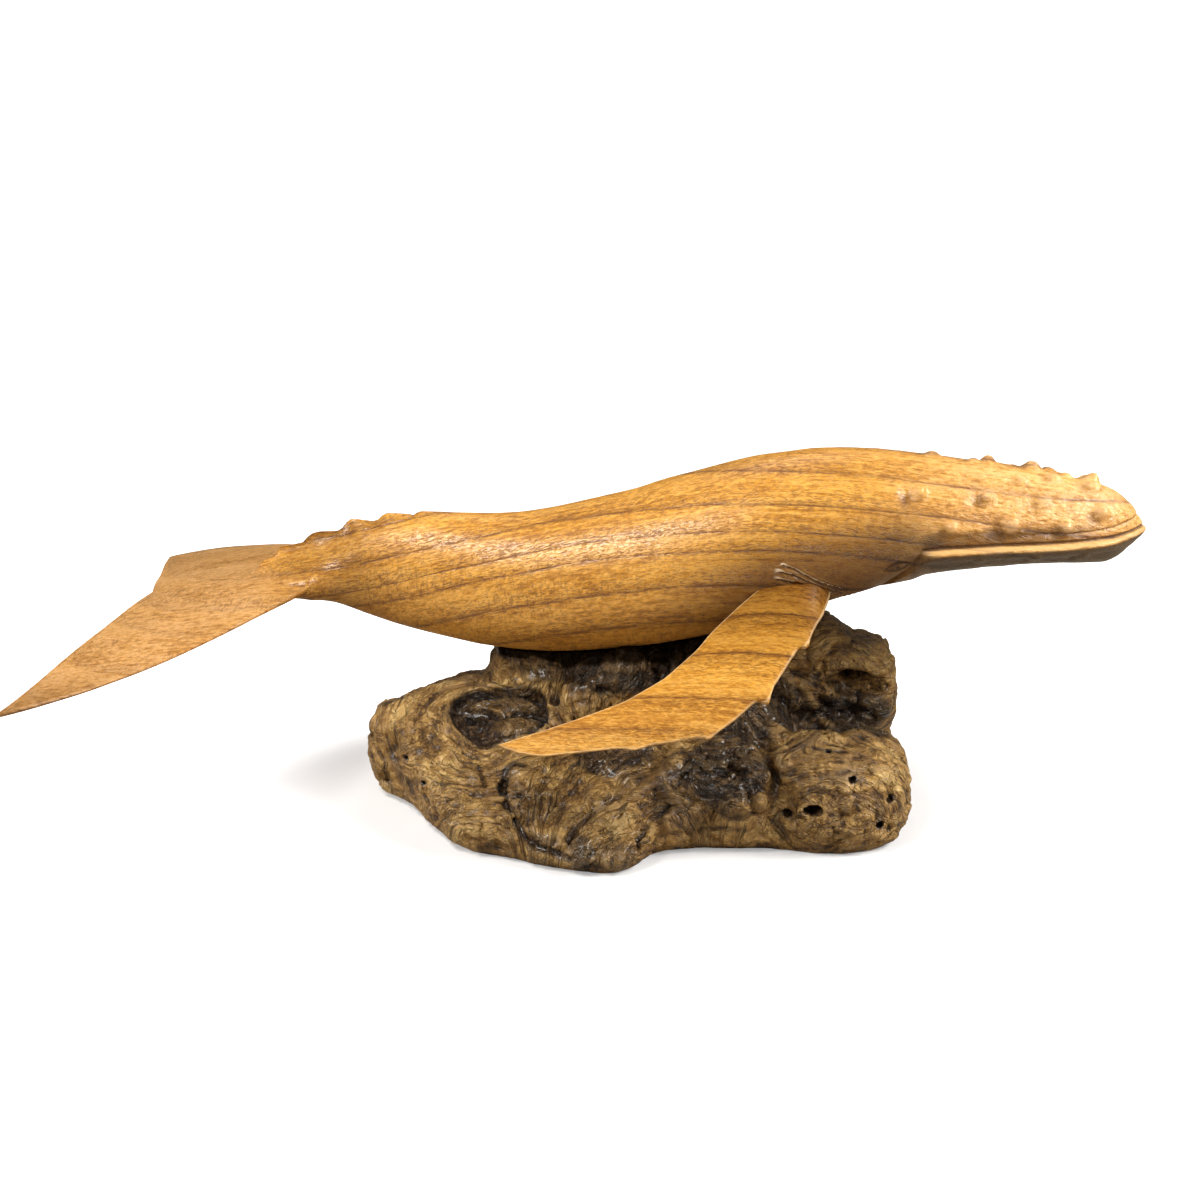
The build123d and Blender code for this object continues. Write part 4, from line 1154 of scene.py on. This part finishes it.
    # pores and growth lines are open; the head keeps small tool marks
    chisel = k.math("MULTIPLY", k.noise(k.scale(g, (330, 620, 620)), 1, 3, 0.6), k.math("MULTIPLY", head, 2.6))
    h = k.math("MULTIPLY_ADD", pore, -0.8, k.math("MULTIPLY_ADD", ring, -0.4, k.math("MULTIPLY_ADD", streak, 0.45, k.math("MULTIPLY_ADD", cut, -1.2, chisel))))
    k.put(k.bsdf.inputs["Normal"], k.bump(h, 0.75, 0.0004))
    k.bsdf.inputs["Specular IOR Level"].default_value = spec
    k.bsdf.inputs["Coat Weight"].default_value = 0.03
    k.bsdf.inputs["Coat Roughness"].default_value = 0.25
    return k.mat


def root_material():
    k = Nodes("root_varnish")
    o = k.obj()
    pit, hollow, dark = k.attr("pit"), k.attr("hollow"), k.attr("dark")
    fa, fb, fc = k.attr("flow_a"), k.attr("flow_b"), k.attr("flow_c")
    g = k.comb(fa, fb, fc)
    fib = k.noise(k.scale(g, (190, 190, 1100)), 1, 4, 0.68)
    band = k.noise(k.scale(g, (90, 90, 300)), 1, 3, 0.6)
    blot = k.noise(k.scale(o, (58, 58, 58)), 1, 4, 0.62)
    crumple = k.noise(k.scale(o, (240, 240, 240)), 1, 4, 0.70, 0.8)
    fine = k.noise(k.scale(o, (640, 640, 640)), 1, 4, 0.74)
    mixv = k.math("ADD", k.math("MULTIPLY", fib, 0.12), k.math("MULTIPLY_ADD", band, 0.24, k.math("MULTIPLY_ADD", blot, 0.32, k.math("MULTIPLY_ADD", crumple, 0.21, k.math("MULTIPLY", fine, 0.11)))))
    fold = k.remap(k.math("ABSOLUTE", k.math("SUBTRACT", k.noise(k.scale(g, (46, 46, 150)), 1, 3, 0.55, 0.9), 0.5)), 0.0, 0.075)
    cell = k.remap(k.math("ABSOLUTE", k.math("SUBTRACT", k.noise(k.scale(o, (120, 120, 120)), 1, 4, 0.60, 1.2), 0.5)), 0.0, 0.060)
    fold = k.math("MULTIPLY", fold, k.math("MULTIPLY_ADD", cell, 0.7, 0.3))
    mixv = k.math("MULTIPLY_ADD", fold, 0.050, k.math("ADD", mixv, -0.024))
    tan = k.ramp(mixv, [(0.39, (0.028, 0.012, 0.003)), (0.44, (0.115, 0.055, 0.013)), (0.495, (0.29, 0.152, 0.038)), (0.54, (0.46, 0.265, 0.076)), (0.60, (0.68, 0.45, 0.165))])
    brown = k.ramp(mixv, [(0.40, (0.005, 0.0025, 0.0010)), (0.47, (0.020, 0.0100, 0.0038)), (0.53, (0.085, 0.046, 0.017)), (0.60, (0.27, 0.165, 0.070))])
    d = k.math("ADD", dark, k.math("MULTIPLY_ADD", blot, 0.9, k.math("MULTIPLY_ADD", band, 0.6, -0.78)))
    # painted shade: hollows and pits turn towards the dark brown
    deep = k.math("ADD", k.remap(hollow, 0.54, 0.86), k.remap(pit, 0.57, 0.88), clamp=True)
    m = k.math("MAXIMUM", k.remap(d, 0.22, 0.78), k.math("MULTIPLY", deep, 0.80))
    col = k.mix(m, tan, brown)
    # painted highlight: the raised ridges turn golden, where the surface stands above its surroundings
    wear_and_ridge_highlight = k.remap(pit, 0.42, 0.12)
    col = k.mix(k.math("MULTIPLY", wear_and_ridge_highlight, k.math("MULTIPLY_ADD", m, -0.25, 0.42)), col, (0.50, 0.32, 0.125))
    crack = k.remap(k.noise(k.scale(g, (120, 120, 620)), 1, 2, 0.5), 0.61, 0.68)
    seam = k.remap(k.math("ABSOLUTE", k.math("SUBTRACT", k.noise(k.scale(o, (150, 150, 150)), 1, 3, 0.6, 0.6), 0.5)), 0.014, 0.002)
    seam = k.math("MULTIPLY", seam, k.remap(k.noise(k.scale(o, (70, 70, 70)), 1, 2, 0.5), 0.44, 0.58))
    split = k.math("MAXIMUM", crack, seam)
    col = k.mix(k.math("MULTIPLY", split, 0.70), col, (0.016, 0.008, 0.0035))
    # painted shadow: black where dark passes 1, close under the belly and in the holes
    col = k.mix(k.remap(dark, 1.0, 1.5, 0.0, 0.90), col, (0.006, 0.003, 0.0014))
    k.put(k.bsdf.inputs["Base Color"], col)
    k.put(k.bsdf.inputs["Roughness"], k.math("ADD", k.math("MULTIPLY_ADD", m, -0.14, 0.43), k.math("MULTIPLY_ADD", fine, 0.36, -0.18)))
    h = k.math("ADD", k.math("MULTIPLY_ADD", fold, 0.85, k.math("MULTIPLY", fib, 0.18)), k.math("MULTIPLY_ADD", band, 0.5, k.math("MULTIPLY_ADD", crumple, 1.0, k.math("MULTIPLY_ADD", fine, 0.55, k.math("MULTIPLY", split, -0.40)))))
    k.put(k.bsdf.inputs["Normal"], k.bump(h, 1.0, 0.0014))
    gloss = k.remap(dark, 1.05, 1.4, 1.0, 0.1)
    k.put(k.bsdf.inputs["Specular IOR Level"], k.math("MULTIPLY", gloss, 0.5))
    k.put(k.bsdf.inputs["Coat Weight"], k.math("MULTIPLY", k.math("MULTIPLY_ADD", m, 0.26, 0.10), gloss))
    k.bsdf.inputs["Coat Roughness"].default_value = 0.17
    return k.mat


def steel_material():
    k = Nodes("drawn_steel")
    o = k.obj()
    n = k.noise(k.scale(o, (3000, 3000, 60)), 1, 2, 0.5)
    col = k.ramp(n, [(0.3, (0.42, 0.43, 0.44)), (0.7, (0.60, 0.61, 0.62))])
    k.put(k.bsdf.inputs["Base Color"], col)
    k.bsdf.inputs["Metallic"].default_value = 1.0
    k.put(k.bsdf.inputs["Roughness"], k.remap(n, 0.3, 0.7, 0.25, 0.42))
    k.put(k.bsdf.inputs["Normal"], k.bump(n, 0.2, 0.0001))
    return k.mat


def bamboo_material():
    k = Nodes("split_bamboo")
    o = k.obj()
    n = k.noise(k.scale(o, (300, 1800, 1800)), 1, 3, 0.6)
    col = k.ramp(n, [(0.3, (0.40, 0.27, 0.11)), (0.55, (0.58, 0.43, 0.20)), (0.8, (0.68, 0.53, 0.28))])
    k.put(k.bsdf.inputs["Base Color"], col)
    k.put(k.bsdf.inputs["Roughness"], k.remap(n, 0.3, 0.7, 0.5, 0.7))
    k.put(k.bsdf.inputs["Normal"], k.bump(n, 0.3, 0.0002))
    return k.mat


wood = carved_wood("whale_timber", (0.87, 0.450, 0.088), (0.72, 0.333, 0.046), (0.45, 0.180, 0.018), (0.175, 0.060, 0.014), 0.34, 0.52, 0.50)
fin_wood = carved_wood("fin_timber", (0.80, 0.402, 0.066), (0.66, 0.295, 0.034), (0.43, 0.170, 0.016), (0.175, 0.060, 0.014), 0.52, 0.12, 0.0)
varnish = root_material()
steel, bamboo = steel_material(), bamboo_material()

for ob, mat in ((whale, wood), (fin_r, fin_wood), (fin_l, fin_wood), (root, varnish)):
    ob.data.materials.clear()
    ob.data.materials.append(mat)
for node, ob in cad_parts.items():
    if "peg" in node or "pin" in node:
        ob.data.materials.clear()
        ob.data.materials.append(bamboo if "peg" in node else steel)

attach(whale, "whale")
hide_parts("whale_body")
for ob, node in ((fin_r, "right_pectoral_fin"), (fin_l, "left_pectoral_fin")):
    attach(ob, "whale")
    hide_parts(node)
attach(root, "stand")
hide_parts("root_base")


# ============================================================== floor, light, camera
def floor_object():
    """White sweep: it shows white with soft contact shadows and throws back less light than it shows."""
    ob = new_object("studio_floor", [(-30000, -30000, 0), (30000, -30000, 0), (30000, 30000, 0), (-30000, 30000, 0)], [(0, 1, 2, 3)], False)
    k = Nodes("studio_floor_paint")
    t = k.t
    n = k.noise(k.scale(k.obj(), (3, 3, 3)), 1, 2, 0.5)
    k.put(k.bsdf.inputs["Base Color"], k.ramp(n, [(0.3, (0.40, 0.345, 0.265)), (0.7, (0.42, 0.36, 0.28))]))
    k.bsdf.inputs["Roughness"].default_value = 0.9
    k.bsdf.inputs["Specular IOR Level"].default_value = 0.0
    x, y, z = k.sep(k.obj())
    x, y = k.math("MULTIPLY_ADD", x, 9.7, -0.146), k.math("MULTIPLY_ADD", y, 14.9, 0.119)      # 1 along the outline of the root
    far = k.remap(k.math("SQRT", k.math("ADD", k.math("MULTIPLY", x, x), k.math("MULTIPLY", y, y))), 1.10, 1.60)
    glow = t.nodes.new("ShaderNodeEmission")
    k.put(glow.inputs["Strength"], k.math("MULTIPLY_ADD", far, 0.72, 0.30))
    seen = t.nodes.new("ShaderNodeBsdfDiffuse")
    k.put(seen.inputs["Color"], k.ramp(n, [(0.3, (0.68, 0.68, 0.69)), (0.7, (0.70, 0.70, 0.71))]))
    both = t.nodes.new("ShaderNodeAddShader")
    t.links.new(seen.outputs[0], both.inputs[0])
    t.links.new(glow.outputs[0], both.inputs[1])
    path = t.nodes.new("ShaderNodeLightPath")
    pick = t.nodes.new("ShaderNodeMixShader")
    t.links.new(path.outputs["Is Camera Ray"], pick.inputs[0])
    t.links.new(k.bsdf.outputs[0], pick.inputs[1])
    t.links.new(both.outputs[0], pick.inputs[2])
    t.links.new(pick.outputs[0], k.out.inputs[0])
    ob.data.materials.append(k.mat)
    return ob


floor = floor_object()

world = bpy.data.worlds.new("studio")
bpy.context.scene.world = world
world.use_nodes = True
wt = world.node_tree
wt.nodes.clear()
w_out = wt.nodes.new("ShaderNodeOutputWorld")
w_bg = wt.nodes.new("ShaderNodeBackground")
w_co = wt.nodes.new("ShaderNodeTexCoord")
w_sep = wt.nodes.new("ShaderNodeSeparateXYZ")
w_map = wt.nodes.new("ShaderNodeMapRange")
wt.links.new(w_co.outputs["Generated"], w_sep.inputs[0])
wt.links.new(w_sep.outputs[2], w_map.inputs[0])
for s, v in zip(w_map.inputs[1:5], (0.0, 1.0, 0.03, 0.09)):
    s.default_value = v
w_bg.inputs[0].default_value = (1.0, 0.985, 0.96, 1)
wt.links.new(w_map.outputs[0], w_bg.inputs[1])
w_white = wt.nodes.new("ShaderNodeBackground")
w_white.inputs[0].default_value = (1, 1, 1, 1)
w_white.inputs[1].default_value = 1.05
w_path = wt.nodes.new("ShaderNodeLightPath")
w_pick = wt.nodes.new("ShaderNodeMixShader")
wt.links.new(w_path.outputs["Is Camera Ray"], w_pick.inputs[0])
wt.links.new(w_bg.outputs[0], w_pick.inputs[1])
wt.links.new(w_white.outputs[0], w_pick.inputs[2])
wt.links.new(w_pick.outputs[0], w_out.inputs[0])


def lamp(name, at, to, size, power, colour=(1, 1, 1)):
    data = bpy.data.lights.new(name, "AREA")
    data.shape, data.size, data.energy, data.color = "DISK", size, power, colour
    ob = bpy.data.objects.new(name, data)
    bpy.context.scene.collection.objects.link(ob)
    ob.location = at
    ob.rotation_euler = (Vector(to) - Vector(at)).to_track_quat("-Z", "Y").to_euler()
    return ob


lamp("right", (0.98, -0.02, 0.78), (0.0, 0.0, 0.08), 0.38, 9.6, (1.0, 0.975, 0.93))
lamp("left_near", (-0.205, -0.245, 0.48), (-0.01, 0.0, 0.10), 0.20, 2.2, (1.0, 0.975, 0.93))
lamp("left", (-0.42, -0.89, 0.77), (0.0, 0.0, 0.08), 0.45, 2.2, (1.0, 0.975, 0.93))
lamp("left_low", (-1.17, 0.0, 0.33), (0.0, 0.0, 0.08), 0.40, 6.6, (1.0, 0.97, 0.92))
lamp("right_near", (0.44, -0.17, 0.35), (0.15, 0.0, 0.11), 0.18, 1.30, (1.0, 0.98, 0.95))
lamp("behind", (0.0, 0.77, 1.0), (0.0, 0.0, 0.08), 0.50, 1.7, (1.0, 0.985, 0.96))

cam_data = bpy.data.cameras.new("camera")
cam_data.sensor_width, cam_data.lens, cam_data.clip_start, cam_data.clip_end = 36.0, 46.905, 0.01, 100.0
cam = bpy.data.objects.new("camera", cam_data)
bpy.context.scene.collection.objects.link(cam)
az, el, dist = math.radians(3.0), math.radians(19.0), 0.590
back = Vector((math.sin(az) * math.cos(el), -math.cos(az) * math.cos(el), math.sin(el)))
cam.location = Vector((0, 0, 0.076)) + back * dist
cam.rotation_euler = (-back).to_track_quat("-Z", "Y").to_euler()
bpy.context.scene.camera = cam
bpy.context.scene.view_settings.view_transform = "Standard"
